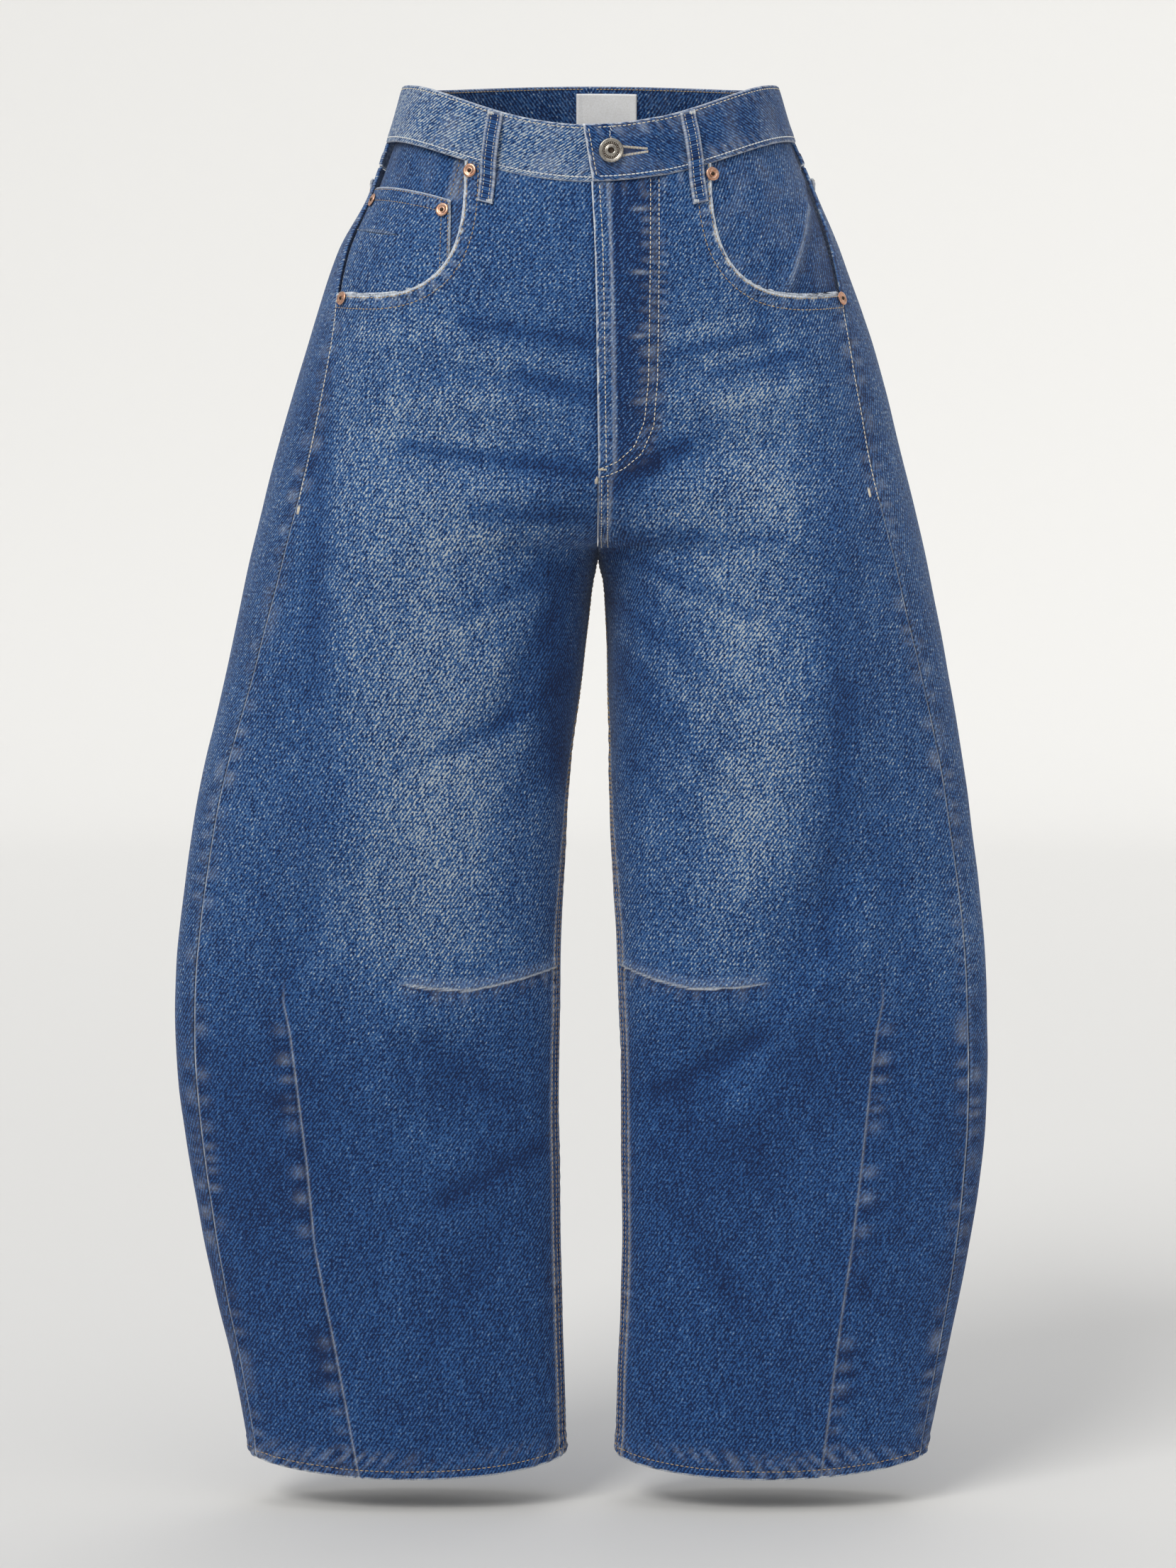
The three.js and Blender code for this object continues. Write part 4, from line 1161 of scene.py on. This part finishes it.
def waistband(side):
    place, depth = strip_profile(BAND_HEIGHT, BAND_THICK)
    level = (BAND_BOTTOM + place)[:, None]
    down = (WAIST_TOP - level) / BAND_HEIGHT
    end_x = TAB_END[0] + (TAB_END[1] - TAB_END[0]) * down if side is LEFT else UNDERLAP_END
    last = angle_at_x(side, FRONT, end_x, level)
    first = centre_edge(side, BACK, WAIST_TOP)
    places = spread(0, 1, 230, ((1, 0.05, 3),))[None]
    angle = first + (last - first) * places
    level = level * np.ones_like(angle)
    plain = skin(side, angle, level)
    relief = Relief(plain)
    run = lengths(plain, 1)
    to_end = run[:, -1:] - run
    outer = np.clip(depth / (BAND_THICK / 2), 0, 1)[:, None]
    below_top, above_bottom = WAIST_TOP - level, level - BAND_BOTTOM
    relief.out += 0.35 * rumple(plain, 26, 5.0) * outer
    relief.fray(below_top, run, 0.8, 31.0)
    relief.groove(below_top - 2.6, 0.9, 0.3, 0.15)
    relief.pucker(below_top - 5, run, 4, 0.22, 9, 32.0 + side.sign)
    relief.groove(above_bottom - 3.2, 1.0, 0.3, 0.1)
    relief.pucker(above_bottom - 6, run, 4.5, 0.35, 8, 33.0 + side.sign)
    relief.fray(above_bottom, run, 0.7, 34.0)
    relief.rubbed += 0.16 * np.clip(rumple(plain, 17, 9.0) + 0.15, 0, 1)
    relief.dye_and_shade += 0.12 * bell(below_top - 19, 6)
    name = f"waistband_{side.name}"
    if side is LEFT:
        relief.fray(to_end, below_top, 1.2, 35.0)
        relief.groove(to_end - 3.4, 0.9, 0.25, 0.1)
        # The buttonhole's slit: painted dark as the shade inside the opening, and sunk a little
        slit = np.hypot((plain[..., 0] - 29) / 9.5, (plain[..., 2] + 54.2) / 0.9)
        relief.dye_and_shade += 1.3 * (1 - smoothstep(slit, 0.7, 1.2)) * outer
        relief.out -= 0.5 * (1 - smoothstep(slit, 0.6, 1.3)) * outer
    relief.out *= outer
    keep = rounded_end(to_end, 1.3)
    middle_out = (BAND_PROUD - BAND_DEEP) / 2 + tab_lift(side, angle, level)
    points = raised(side, angle, level, middle_out + (depth[:, None] + relief.out) * keep)
    relief.dye_and_shade += 0.34 * (1 - outer)
    relief.rubbed *= 0.3 + 0.7 * outer
    in_front = smoothstep(-plain[..., 1], -70, 30) * outer
    # In front, the right half of the band is made paler and the left half darker
    front_tone_shift = in_front * (0.34 if side is RIGHT else -0.10)
    relief.dye_and_shade -= 0.12 * (1 - outer)
    piece = lay_closed(name, points, plain, relief, BAND_OUT, front_tone_shift, level)
    stations = angle[0, 2:-4]
    for below, thread in ((2.6, "cream"), (BAND_HEIGHT - 3.2, "cord")):
        edge = line_of(side, stations, WAIST_TOP - below)
        if thread == "cord":
            sew(edge, [name], "cord", 3.0, 2.9, 1.05)
        else:
            sew(edge, [name], thread, 3.3, 2.6, 0.75)
    inside_edge = line_of(side, stations, WAIST_TOP - 2.0)
    sew(Line(inside_edge.points, -inside_edge.normals), [name], "tan", 2.6, 2.3, 0.8)
    if side is LEFT:
        levels = np.linspace(WAIST_TOP - 3, BAND_BOTTOM + 3.5, 14)
        beside = 3.4 + np.interp(-levels, (-WAIST_TOP, -BAND_BOTTOM), TAB_END)
        sew(line_of(side, angle_at_x(side, FRONT, beside, levels), levels), [name], "cream")
    return piece


COIN_X = 95
COIN_TOP = -72
COIN_THICK = 1.3
FACING_SEAMS = (
    ((-89, -57), (-96, -82)),
    ((-83.5, -59), (-91, -82)),
    ((-154, -89), (-158, -137)),
)


def under_grid(side, inner_x, top, bottom, rows, cols):
    """A grid beneath the front from an upright inner edge to the side seam."""
    level = top + (bottom - top) * np.linspace(0, 1, rows)
    inner = angle_at_x(side, FRONT, side.sign * inner_x, level)
    outer = side_edge(side, FRONT, level)
    angle = inner[:, None] + (outer - inner)[:, None] * np.linspace(0, 1, cols)
    return angle, level[:, None] * np.ones_like(angle)


def facing(side):
    angle, level = under_grid(side, POCKET_X - TUCK, BAND_BOTTOM - SEAM + 1.2, POCKET_BOTTOM - TUCK, 60, 56)
    relief = Relief(skin(side, angle, level))
    x, z = relief.points[..., 0], relief.points[..., 2]
    relief.out += 0.7 * rumple(relief.points, 30, 12.0)
    from_side = lengths(relief.points, 1)[:, -1:] - lengths(relief.points, 1)
    relief.dye_and_shade += 0.3 * bell(from_side, 9)
    name = f"pocket_facing_{side.name}"
    depth = UNDER_PANEL
    if side is RIGHT:
        depth -= COIN_THICK + 0.8
        for seam in FACING_SEAMS:
            line = front_line(side, seam)
            away, _ = nearness(relief.points, line, 14)
            relief.groove(away, 1.0, 0.3, 0.3)
            relief.ridge(away - 2, 1.3, 0.2, 0.25)
            sew(line, [name], "tan", 3.3, 2.3, 0.6)
    else:
        crease = front_line(side, ((154, -88), (149, -111), (140, -139)))
        away, _ = nearness(relief.points, crease, 30)
        right_of = x > np.interp(-z, (88, 111, 139), (154, 149, 140))
        relief.out += 1.6 * bell(away, 5) - 1.2 * right_of * smoothstep(away, 2, 9)
        relief.rubbed += 0.35 * bell(away, 1.5)
        relief.dye_and_shade += 0.30 * right_of * smoothstep(away, 0, 8)
    relief.rubbed += 0.10 * np.clip(rumple(relief.points, 12, 14.0) + 0.2, 0, 1)
    shade = -0.10 if side is RIGHT else -0.05
    return lay(name, side, angle, level, relief, DENIM_OUT, 1.2, shade=shade, base=depth)


def coin_pocket():
    side = RIGHT
    angle, level = under_grid(side, COIN_X, COIN_TOP, POCKET_BOTTOM - TUCK / 2, 56, 50)
    points = skin(side, angle, level)
    level = level - 2.4 * smoothstep(-points[..., 0], 100, 155) * (level > COIN_TOP - 30) + 1.2
    points = skin(side, angle, level)
    relief = Relief(points)
    from_top = lengths(points, 0)
    from_inner = lengths(points, 1)
    relief.out += 0.4 * rumple(points, 26, 15.0)
    relief.out += 0.5 * (1 - smoothstep(from_top, 9, 11)) - 0.7 * bell(from_top, 0.8)
    relief.out -= 0.7 * bell(from_inner, 0.8)
    relief.fray(from_top, from_inner, 0.8, 36.0)
    relief.fray(from_inner, from_top, 0.8, 37.0)
    relief.groove(from_top - 10, 0.9, 0.3, 0.2)
    relief.pucker(from_top - 6, from_inner, 4, 0.3, 7, 38.0)
    relief.pucker(from_inner - 4, from_top, 3, 0.3, 7, 39.0)
    name = "coin_pocket"
    for distance in (2.0, 10.0):
        sew(keeping(side, angle.T, level.T, from_top.T, distance), [name], "tan", 3.0, 2.2, 0.6)
    for distance in (2.0, 7.5):
        sew(keeping(side, angle, level, from_inner, distance), [name], "tan", 3.0, 2.2, 0.6)
    return lay(name, side, angle, level, relief, DENIM_OUT, 1.2, shade=0.0, base=UNDER_PANEL)


def fly_shield():
    """The strip behind the fly, seen only from inside."""
    levels = np.linspace(BAND_BOTTOM - SEAM, FLY_BOTTOM + 6, 60)[:, None]
    x = np.linspace(8, 42, 16)[None]
    angle = angle_at_x(LEFT, FRONT, x * np.ones_like(levels), levels * np.ones_like(x))
    level = levels * np.ones_like(angle)
    relief = Relief(skin(LEFT, angle, level))
    return lay("fly_shield", LEFT, angle, level, relief, DENIM_OUT, 1.2, base=UNDER_PANEL)


BACK_POCKET = {"angle": 42, "drop": 8, "side": 136, "point": 22, "top_half": 76, "bottom_half": 62}


def back_pocket(side):
    centre = math.radians(BACK_POCKET["angle"])
    t = spread(0, 1, 64, ((0, 0.05, 2), (1, 0.06, 2)))[:, None]
    across = spread(-1, 1, 64, ((-1, 0.1, 3), (1, 0.1, 3), (0, 0.04, 1)))[None]
    half = BACK_POCKET["top_half"] + (BACK_POCKET["bottom_half"] - BACK_POCKET["top_half"]) * t
    down = BACK_POCKET["drop"] + BACK_POCKET["side"] * t
    angle = centre + angle_of(side, centre, yoke_seam(centre) - down, half * across)
    level = yoke_seam(angle) - down - BACK_POCKET["point"] * t * (1 - np.abs(across))
    points = skin(side, angle, level)
    relief = Relief(points)
    from_left = lengths(points, 1)
    from_right = from_left[:, -1:] - from_left
    from_top = lengths(points, 0)
    from_bottom = from_top[-1:] - from_top
    from_edge = np.minimum(np.minimum(from_left, from_right), from_bottom)
    relief.out += 0.5 * rumple(points, 40, 16.0)
    relief.out -= 1.1 * bell(from_edge, 1.0)
    relief.out += 0.7 * (1 - smoothstep(from_top, 19, 21.5)) - 0.5 * bell(from_top, 0.9)
    relief.fray(from_edge, from_top + from_left, 1.1, 41.0 + side.sign)
    relief.fray(from_top, from_left, 0.9, 43.0)
    relief.groove(from_edge - 9, 0.9, 0.25, 0.15)
    relief.pucker(from_edge - 5, from_top + from_left, 4.5, 0.4, 8, 44.0 + side.sign)
    relief.pucker(from_top - 12, from_left, 7, 0.3, 10, 45.0)
    relief.rubbed += 0.12 * bell(from_edge - 30, 14)
    corner = np.hypot(from_left, from_top) 
    relief.out += 4.2 * bell(corner, 13)
    name = f"back_pocket_{side.name}"
    full = slice(None)
    for distance in (2.2, 8.6):
        rows = np.flatnonzero(from_bottom[:, len(across[0]) // 2] > distance)
        for away in (from_left, from_right):
            inner_half = slice(0, 33) if away is from_left else slice(32, 65)
            half = (grid[:, inner_half] for grid in (angle, level, away))
            line = keeping(side, *half, distance, rows)
            sew(line, [name], "tan")
        cols = np.flatnonzero(np.minimum(from_left[-1], from_right[-1]) > distance)
        sew(keeping(side, angle.T, level.T, from_bottom.T, distance, cols), [name], "tan")
    for distance in (2.2, 19.0):
        sew(keeping(side, angle.T, level.T, from_top.T, distance, full), [name], "tan")
    return lay(name, side, angle, level, relief, DENIM_OUT, 1.3, shade=0.04, base=2.0)


LOOP = {"width": 11.5, "thick": 2.2, "top": -5.5, "bottom": -67, "belt": 2}
LOOPS = (
    ("front_right", FRONT, -62, -69.5),
    ("front_left", FRONT, 66.5, 76),
    ("back_right", BACK, -92, -98),
    ("back_left", BACK, 95, 102),
    ("back_middle", BACK, 2, 3),
)


def belt_loop(label_name, face, top_x, bottom_x):
    place, depth = strip_profile(LOOP["width"], LOOP["thick"] * 0.8, 12, 5, 3)
    t = spread(0, 1, 70, ((0, 0.04, 2), (1, 0.04, 2)))
    level = LOOP["top"] + (LOOP["bottom"] - LOOP["top"]) * t
    x = top_x + (bottom_x - top_x) * t
    side = side_of(top_x, level[0])
    middle = angle_at_x(side, face, x, level)
    on_band = smoothstep(level, BAND_BOTTOM - 9, BAND_BOTTOM - 1)
    up = 1 - t
    room = LOOP["belt"] * smoothstep(up, 0.3, 0.5) * (1 - smoothstep(up, 0.72, 0.92))
    seat = SEAM + 0.5 + BAND_PROUD * on_band + room
    offset = (place - LOOP["width"] / 2)[:, None]
    angle = middle + angle_of(side, middle, level, 1.0) * offset
    levels = level * np.ones_like(angle)
    plain = skin(side, angle, levels)
    relief = Relief(plain)
    outer = np.clip(depth / depth.max(), 0, 1)[:, None]
    from_edge = np.minimum(place, LOOP["width"] - place)[:, None] * np.ones_like(angle)
    along = -levels
    relief.out += 0.35 * bell(from_edge - 1.6, 1.2) - 0.3 * bell(from_edge - 3.4, 0.8)
    relief.rubbed += 0.8 * bell(from_edge - 0.9, 0.9) * (1 + 0.3 * ripple(along, 7, 51.0))
    relief.dye_and_shade += 0.12 * smoothstep(from_edge, 2.4, 4)
    relief.out += 0.15 * ripple(along, 6, 52.0 + top_x) * bell(from_edge - 2, 1.5)
    relief.out *= outer
    from_ends = np.minimum(t, 1 - t) * (LOOP["top"] - LOOP["bottom"])
    relief.rubbed += 0.5 * bell(from_ends, 1.2)
    keep = rounded_end(from_ends, 1.2)
    relief.out -= 0.35 * bell(from_ends - 2.5, 1.6) * outer
    out = seat + LOOP["thick"] * 0.4 + (depth[:, None] + relief.out) * keep
    points = raised(side, angle, levels, out)
    name = f"belt_loop_{label_name}"
    piece = lay_closed(name, points, plain, relief, BAND_OUT, -0.13, levels)
    for inside in (3.3, LOOP["width"] - 3.3):
        at = middle + angle_of(side, middle, level, 1.0) * (inside - LOOP["width"] / 2)
        sew(line_of(side, at[3:-3], level[3:-3]), [name], "cream", 2.8, 2.1, 0.55)
    for end in (3, -4):
        bar_across(side, middle[end], level[end], LOOP["width"] - 1.2, 2.6, [name], "cord")
    return piece


LABEL = {"x": 13.5, "width": 44, "top": -9, "height": 30, "thick": 0.6}


def label():
    level = np.linspace(LABEL["top"], LABEL["top"] - LABEL["height"], 24)[:, None]
    x = LABEL["x"] + LABEL["width"] * np.linspace(-0.5, 0.5, 34)[None]
    angle = angle_at_x(LEFT, BACK, x * np.ones_like(level), level * np.ones_like(x))
    level = level * np.ones_like(angle)
    relief = Relief(skin(LEFT, angle, level))
    relief.out += 0.25 * rumple(relief.points, 14, 18.0)
    from_ends = LABEL["width"] / 2 - np.abs(x - LABEL["x"])
    relief.out -= 0.4 * (1 - smoothstep(from_ends, 3.4, 3.9))
    base = -BAND_DEEP - SEAM
    piece = lay("label", LEFT, angle, level, relief, TAPE, LABEL["thick"], base=base)
    for corner_x in (LABEL["x"] - 20, LABEL["x"] + 20):
        for corner_level in (LABEL["top"] - 2, LABEL["top"] - LABEL["height"] + 2):
            at = angle_at_x(LEFT, BACK, corner_x, corner_level)
            bar_across(LEFT, at, corner_level, 2.4, 2.2, ["label"], "cream", inside=True)
    return piece


# Metal trims

# Profiles of the turned trims: radius and height above the cloth
RIVET = (
    (0, 1.9), (0.8, 1.85), (1.2, 1.5), (1.35, 0.8), (1.9, 0.62), (2.5, 0.85),
    (3.2, 1.25), (4.0, 1.3), (4.6, 1.0), (4.9, 0.5), (4.7, 0.0), (0, 0),
)
RIVET_HOLLOWS = ((0, 1.6),)
BUTTON = (
    (0, 2.3), (1.5, 2.2), (1.9, 3.2), (2.4, 3.75), (3.0, 3.75), (3.5, 3.3), (3.9, 2.95), (6.2, 3.05),
    (6.7, 3.5), (7.2, 3.95), (7.9, 3.85), (8.4, 3.3), (8.6, 2.4), (8.0, 1.6), (3.5, 1.4), (3.5, 0), (0, 0),
)
BUTTON_HOLLOWS = ((0, 1.8), (3.9, 6.3))
RIVETS = (
    ("pocket_top_right", -79.8, -66.5, 1.1),
    ("pocket_top_left", 84, -69, 1.1),
    ("pocket_side_right", -168.5, -152, 1.1),
    ("pocket_side_left", 174, -152, 1.1),
    ("coin_inner", -100, -92, UNDER_PANEL + 0.7),
    ("coin_outer", -151, -82.5, UNDER_PANEL + 0.7),
)


def turned(name, profile, steps, spot, out, material, hollow, hollows, slot, extra=None):
    """A round trim spun from its profile, standing on the cloth, darker between some radii."""
    made = bmesh.new()
    verts = [made.verts.new((r, 0, h)) for r, h in profile]
    edges = [made.edges.new(pair) for pair in zip(verts, verts[1:])]
    turn = {"cent": (0, 0, 0), "axis": (0, 0, 1), "angle": 2 * math.pi, "steps": steps}
    bmesh.ops.spin(made, geom=verts + edges, use_merge=True, **turn)
    bmesh.ops.remove_doubles(made, verts=made.verts, dist=1e-4)
    bmesh.ops.recalc_face_normals(made, faces=made.faces)
    for face in made.faces:
        radius = face.calc_center_median().xy.length
        face.material_index = int(any(low < radius < high for low, high in hollows))
    if extra:
        extra(made)
    side, angle, level = spot
    normal = Vector(outward(side, angle, level))
    place = Vector(raised(side, angle, level, out))
    turn = normal.to_track_quat("Z", "Y").to_matrix().to_4x4()
    made.transform(Matrix.Scale(MM, 4) @ Matrix.Translation(place) @ turn)
    mesh = bpy.data.meshes.new(name + "_metal")
    made.to_mesh(mesh)
    made.free()
    piece = finish_object(name + "_metal", mesh, material, (name,))
    mesh.materials.append(hollow)
    rim = piece.modifiers.new("soft_edges", "SUBSURF")
    rim.levels = rim.render_levels = 1
    return piece


def beads(made):
    """A ring of plain beads in the button's channel."""
    for turn in np.linspace(0, 2 * math.pi, 26)[:-1]:
        place = Matrix.Rotation(turn, 4, "Z") @ Matrix.Translation((5.05, 0, 3.0))
        shape = Matrix.Diagonal((1.0, 0.42, 0.55, 1))
        bmesh.ops.create_icosphere(made, subdivisions=1, radius=1, matrix=place @ shape)


# Sewing

STITCHES = []


def bar_across(side, angle, level, length, width, surfaces, thread, inside=False, lean=0.0):
    """A bar tack: threads laid side by side."""
    spot = skin(side, angle, level)
    normal = outward(side, angle, level) * (-1 if inside else 1)
    along = np.cross(normal, (0.0, 0.0, 1.0))
    along /= np.linalg.norm(along)
    up = np.cross(along, normal)
    run = along * math.cos(lean) + up * math.sin(lean)
    over = np.cross(run, normal)
    for step in np.arange(-length / 2, length / 2 + 0.01, 0.75):
        middle = spot + run * step
        STITCHES.append((middle - over * width / 2, middle + over * width / 2, normal, surfaces, thread, 0.7))


def stitch_rows():
    for row in ROWS:
        run = lengths(row.line.points, 0)
        normals = row.line.normals
        for start in np.arange(0.4, run[-1] - row.stitch, row.pitch):
            ends = [
                np.array([np.interp(place, run, row.line.points[:, k]) for k in range(3)])
                for place in (start, start + row.stitch)
            ]
            normal = normals[np.searchsorted(run, start)]
            STITCHES.append((*ends, normal, row.surfaces, row.thread, row.thick))


def settle(point, normal, surfaces):
    """Drops a point on the highest of some surfaces, along the cloth's normal."""
    reach = 9
    heights = []
    for name in surfaces:
        found = SURFACES[name].ray_cast(Vector(point + normal * reach), Vector(-normal), 2 * reach)
        if found[0] is not None:
            heights.append(reach - found[3])
    return point + normal * max(heights) if heights else None


def make_stitches():
    grain = bmesh.new()
    bmesh.ops.create_icosphere(grain, subdivisions=1, radius=1)
    template = np.array([v.co[:] for v in grain.verts])
    faces = np.array([[v.index for v in f.verts] for f in grain.faces])
    grain.free()
    stitch_rows()
    groups = {}
    for start, end, normal, surfaces, thread, thick in STITCHES:
        low, high = settle(start, normal, surfaces), settle(end, normal, surfaces)
        if low is None or high is None:
            continue
        run = high - low
        size = np.linalg.norm(run)
        if size < 0.2 or size > 8:
            continue
        along = run / size
        over = np.cross(normal, along)
        axes = np.array([along * size * 0.56, over * thick * 0.5, np.cross(along, over) * thick * 0.42])
        points = template @ axes + (low + high) / 2 + normal * 0.12 * thick
        groups.setdefault(thread, []).append(points)
    for thread, parts in groups.items():
        count = len(template)
        all_faces = np.concatenate([faces + i * count for i in range(len(parts))])
        mesh = bpy.data.meshes.new(f"stitches_{thread}")
        mesh.from_pydata((np.concatenate(parts) * MM).tolist(), [], all_faces.tolist())
        finish_object(f"stitches_{thread}", mesh, THREADS[thread])


THREADS = {"cream": CREAM, "tan": TAN, "cord": CORD}
TARNISH = mottled("tarnish_in_the_hollows", "#2d2622", "#51443a", 1.0, 0.55, 0.8)
# x and z of the button's middle, of both ends of the buttonhole's two edges, of a loose end of
# thread between the waistband's edge and the button, and of bar tacks with length, width and lean
BUTTON_PLACE = (15.2, -54.8)
BUTTONHOLE = (((20.5, -51.5), (39, -53)), ((20.5, -58.2), (39.5, -55)))
LOOSE_THREAD = ((16.6, -37.5), (15.6, -39), (14.7, -41), (14.3, -43), (14.6, -45), (15.3, -46.6))
BAR_TACKS = (
    (8, -268.5, 9, 1.6, 0.0),
    (5.5, -276, 1.8, 6, 0.0),
    (-199.3, -297, 1.8, 7, 0.1),
    (193.1, -285, 1.8, 7, -0.1),
)

for side in (RIGHT, LEFT):
    front_panel(side)
    back_panel(side)
    yoke(side)
    waistband(side)
    facing(side)
    back_pocket(side)
coin_pocket()
fly_shield()
label()
for row in LOOPS:
    belt_loop(*row)
for name, x, z, out in RIVETS:
    spot = spot_at_point(FRONT, x, z)
    turned(f"rivet_{name}", RIVET, 32, spot, out, COPPER, TARNISH, RIVET_HOLLOWS, "copper")
button_spot = spot_at_point(FRONT, *BUTTON_PLACE)
button_out = BAND_PROUD + BAND_THICK + 2 * SEAM
button = ("waist_button", BUTTON, 48, button_spot, button_out, PEWTER, TARNISH)
turned(*button, BUTTON_HOLLOWS, "pewter", beads)
for (x1, z1), (x2, z2) in BUTTONHOLE:
    for t in np.linspace(0, 1, 22):
        spot = spot_at_point(FRONT, x1 + (x2 - x1) * t, z1 + (z2 - z1) * t)
        bar_across(*spot, 0.4, 2.0, ["waistband_left"], "cream", lean=0.15)
for x, z, length, width, lean in BAR_TACKS:
    spot = spot_at_point(FRONT, x, z)
    bar_across(*spot, length, width, [f"front_{spot[0].name}"], "cream", lean=lean)
for (x1, z1), (x2, z2) in zip(LOOSE_THREAD, LOOSE_THREAD[1:]):
    spot = spot_at_point(FRONT, (x1 + x2) / 2, (z1 + z2) / 2)
    lean = math.atan2(z2 - z1, x2 - x1) + math.pi / 2
    bar_across(*spot, 0.2, math.hypot(x2 - x1, z2 - z1) + 0.5, ["waistband_left"], "cord", lean=lean)
make_stitches()


# Room, light and camera

def look_at(thing, place, target):
    thing.location = [v * MM for v in place]
    aim = Vector(target) - Vector(place)
    thing.rotation_euler = aim.to_track_quat("-Z", "Y").to_euler()


def soft_sun(name, toward, strength, spread_angle, tint):
    """A broad lamp so far away that floor and object are lit alike."""
    lamp = bpy.data.lights.new(name, "SUN")
    lamp.angle = math.radians(spread_angle)
    lamp.energy = strength
    lamp.color = linear(tint)[:3]
    made = bpy.data.objects.new(name, lamp)
    bpy.context.collection.objects.link(made)
    look_at(made, [-5000 * part for part in toward], (0, 0, 0))


def backdrop():
    """A round floor whose far edge curves up into a wall."""
    made = bmesh.new()
    bmesh.ops.create_grid(made, x_segments=120, y_segments=120, size=FLOOR_HALF * MM)
    for vertex in made.verts:
        radius = vertex.co.length / MM
        vertex.co.z = (FLOOR + WALL_HEIGHT * float(smoothstep(radius, *WALL_CURVE))) * MM
    mesh = bpy.data.meshes.new("backdrop")
    made.to_mesh(mesh)
    made.free()
    material, _, shader = new_material("matt_studio_paint")
    shader.inputs["Base Color"].default_value = linear("#dcdbd9")
    shader.inputs["Roughness"].default_value = 0.95
    mesh.materials.append(material)
    mesh.polygons.foreach_set("use_smooth", [True] * len(mesh.polygons))
    floor = bpy.data.objects.new("backdrop", mesh)
    bpy.context.collection.objects.link(floor)


FLOOR = -1004
FLOOR_HALF = 9000
WALL_HEIGHT = 8320
WALL_CURVE = (5200, 12000)  # distances from the middle where the floor starts and ends its rise
VIEW_FROM = (0, -3200, -240)
VIEW_TO = (0, 0, -491)
VIEW_HEIGHT = 1106          # what the photograph's height takes in, at the middle of the object
SENSOR = 36

backdrop()
soft_sun("key", (0.42, 0.66, -0.64), 1.85, 26, "#fffefb")
soft_sun("above", (0.05, 0.12, -1.0), 0.75, 70, "#ffffff")
soft_sun("back", (-0.30, -0.82, -0.42), 0.75, 50, "#fdfdff")

world = bpy.data.worlds.new("studio")
world.use_nodes = True
world.node_tree.nodes["Background"].inputs["Color"].default_value = linear("#f6f8fb")
world.node_tree.nodes["Background"].inputs["Strength"].default_value = 0.42
scene = bpy.context.scene
scene.world = world
scene.view_settings.view_transform = "Standard"

camera = bpy.data.cameras.new("camera")
distance = (Vector(VIEW_TO) - Vector(VIEW_FROM)).length
camera.sensor_width = SENSOR
camera.lens = SENSOR * distance / VIEW_HEIGHT
camera.clip_end = 60
eye = bpy.data.objects.new("camera", camera)
bpy.context.collection.objects.link(eye)
look_at(eye, VIEW_FROM, VIEW_TO)
scene.camera = eye
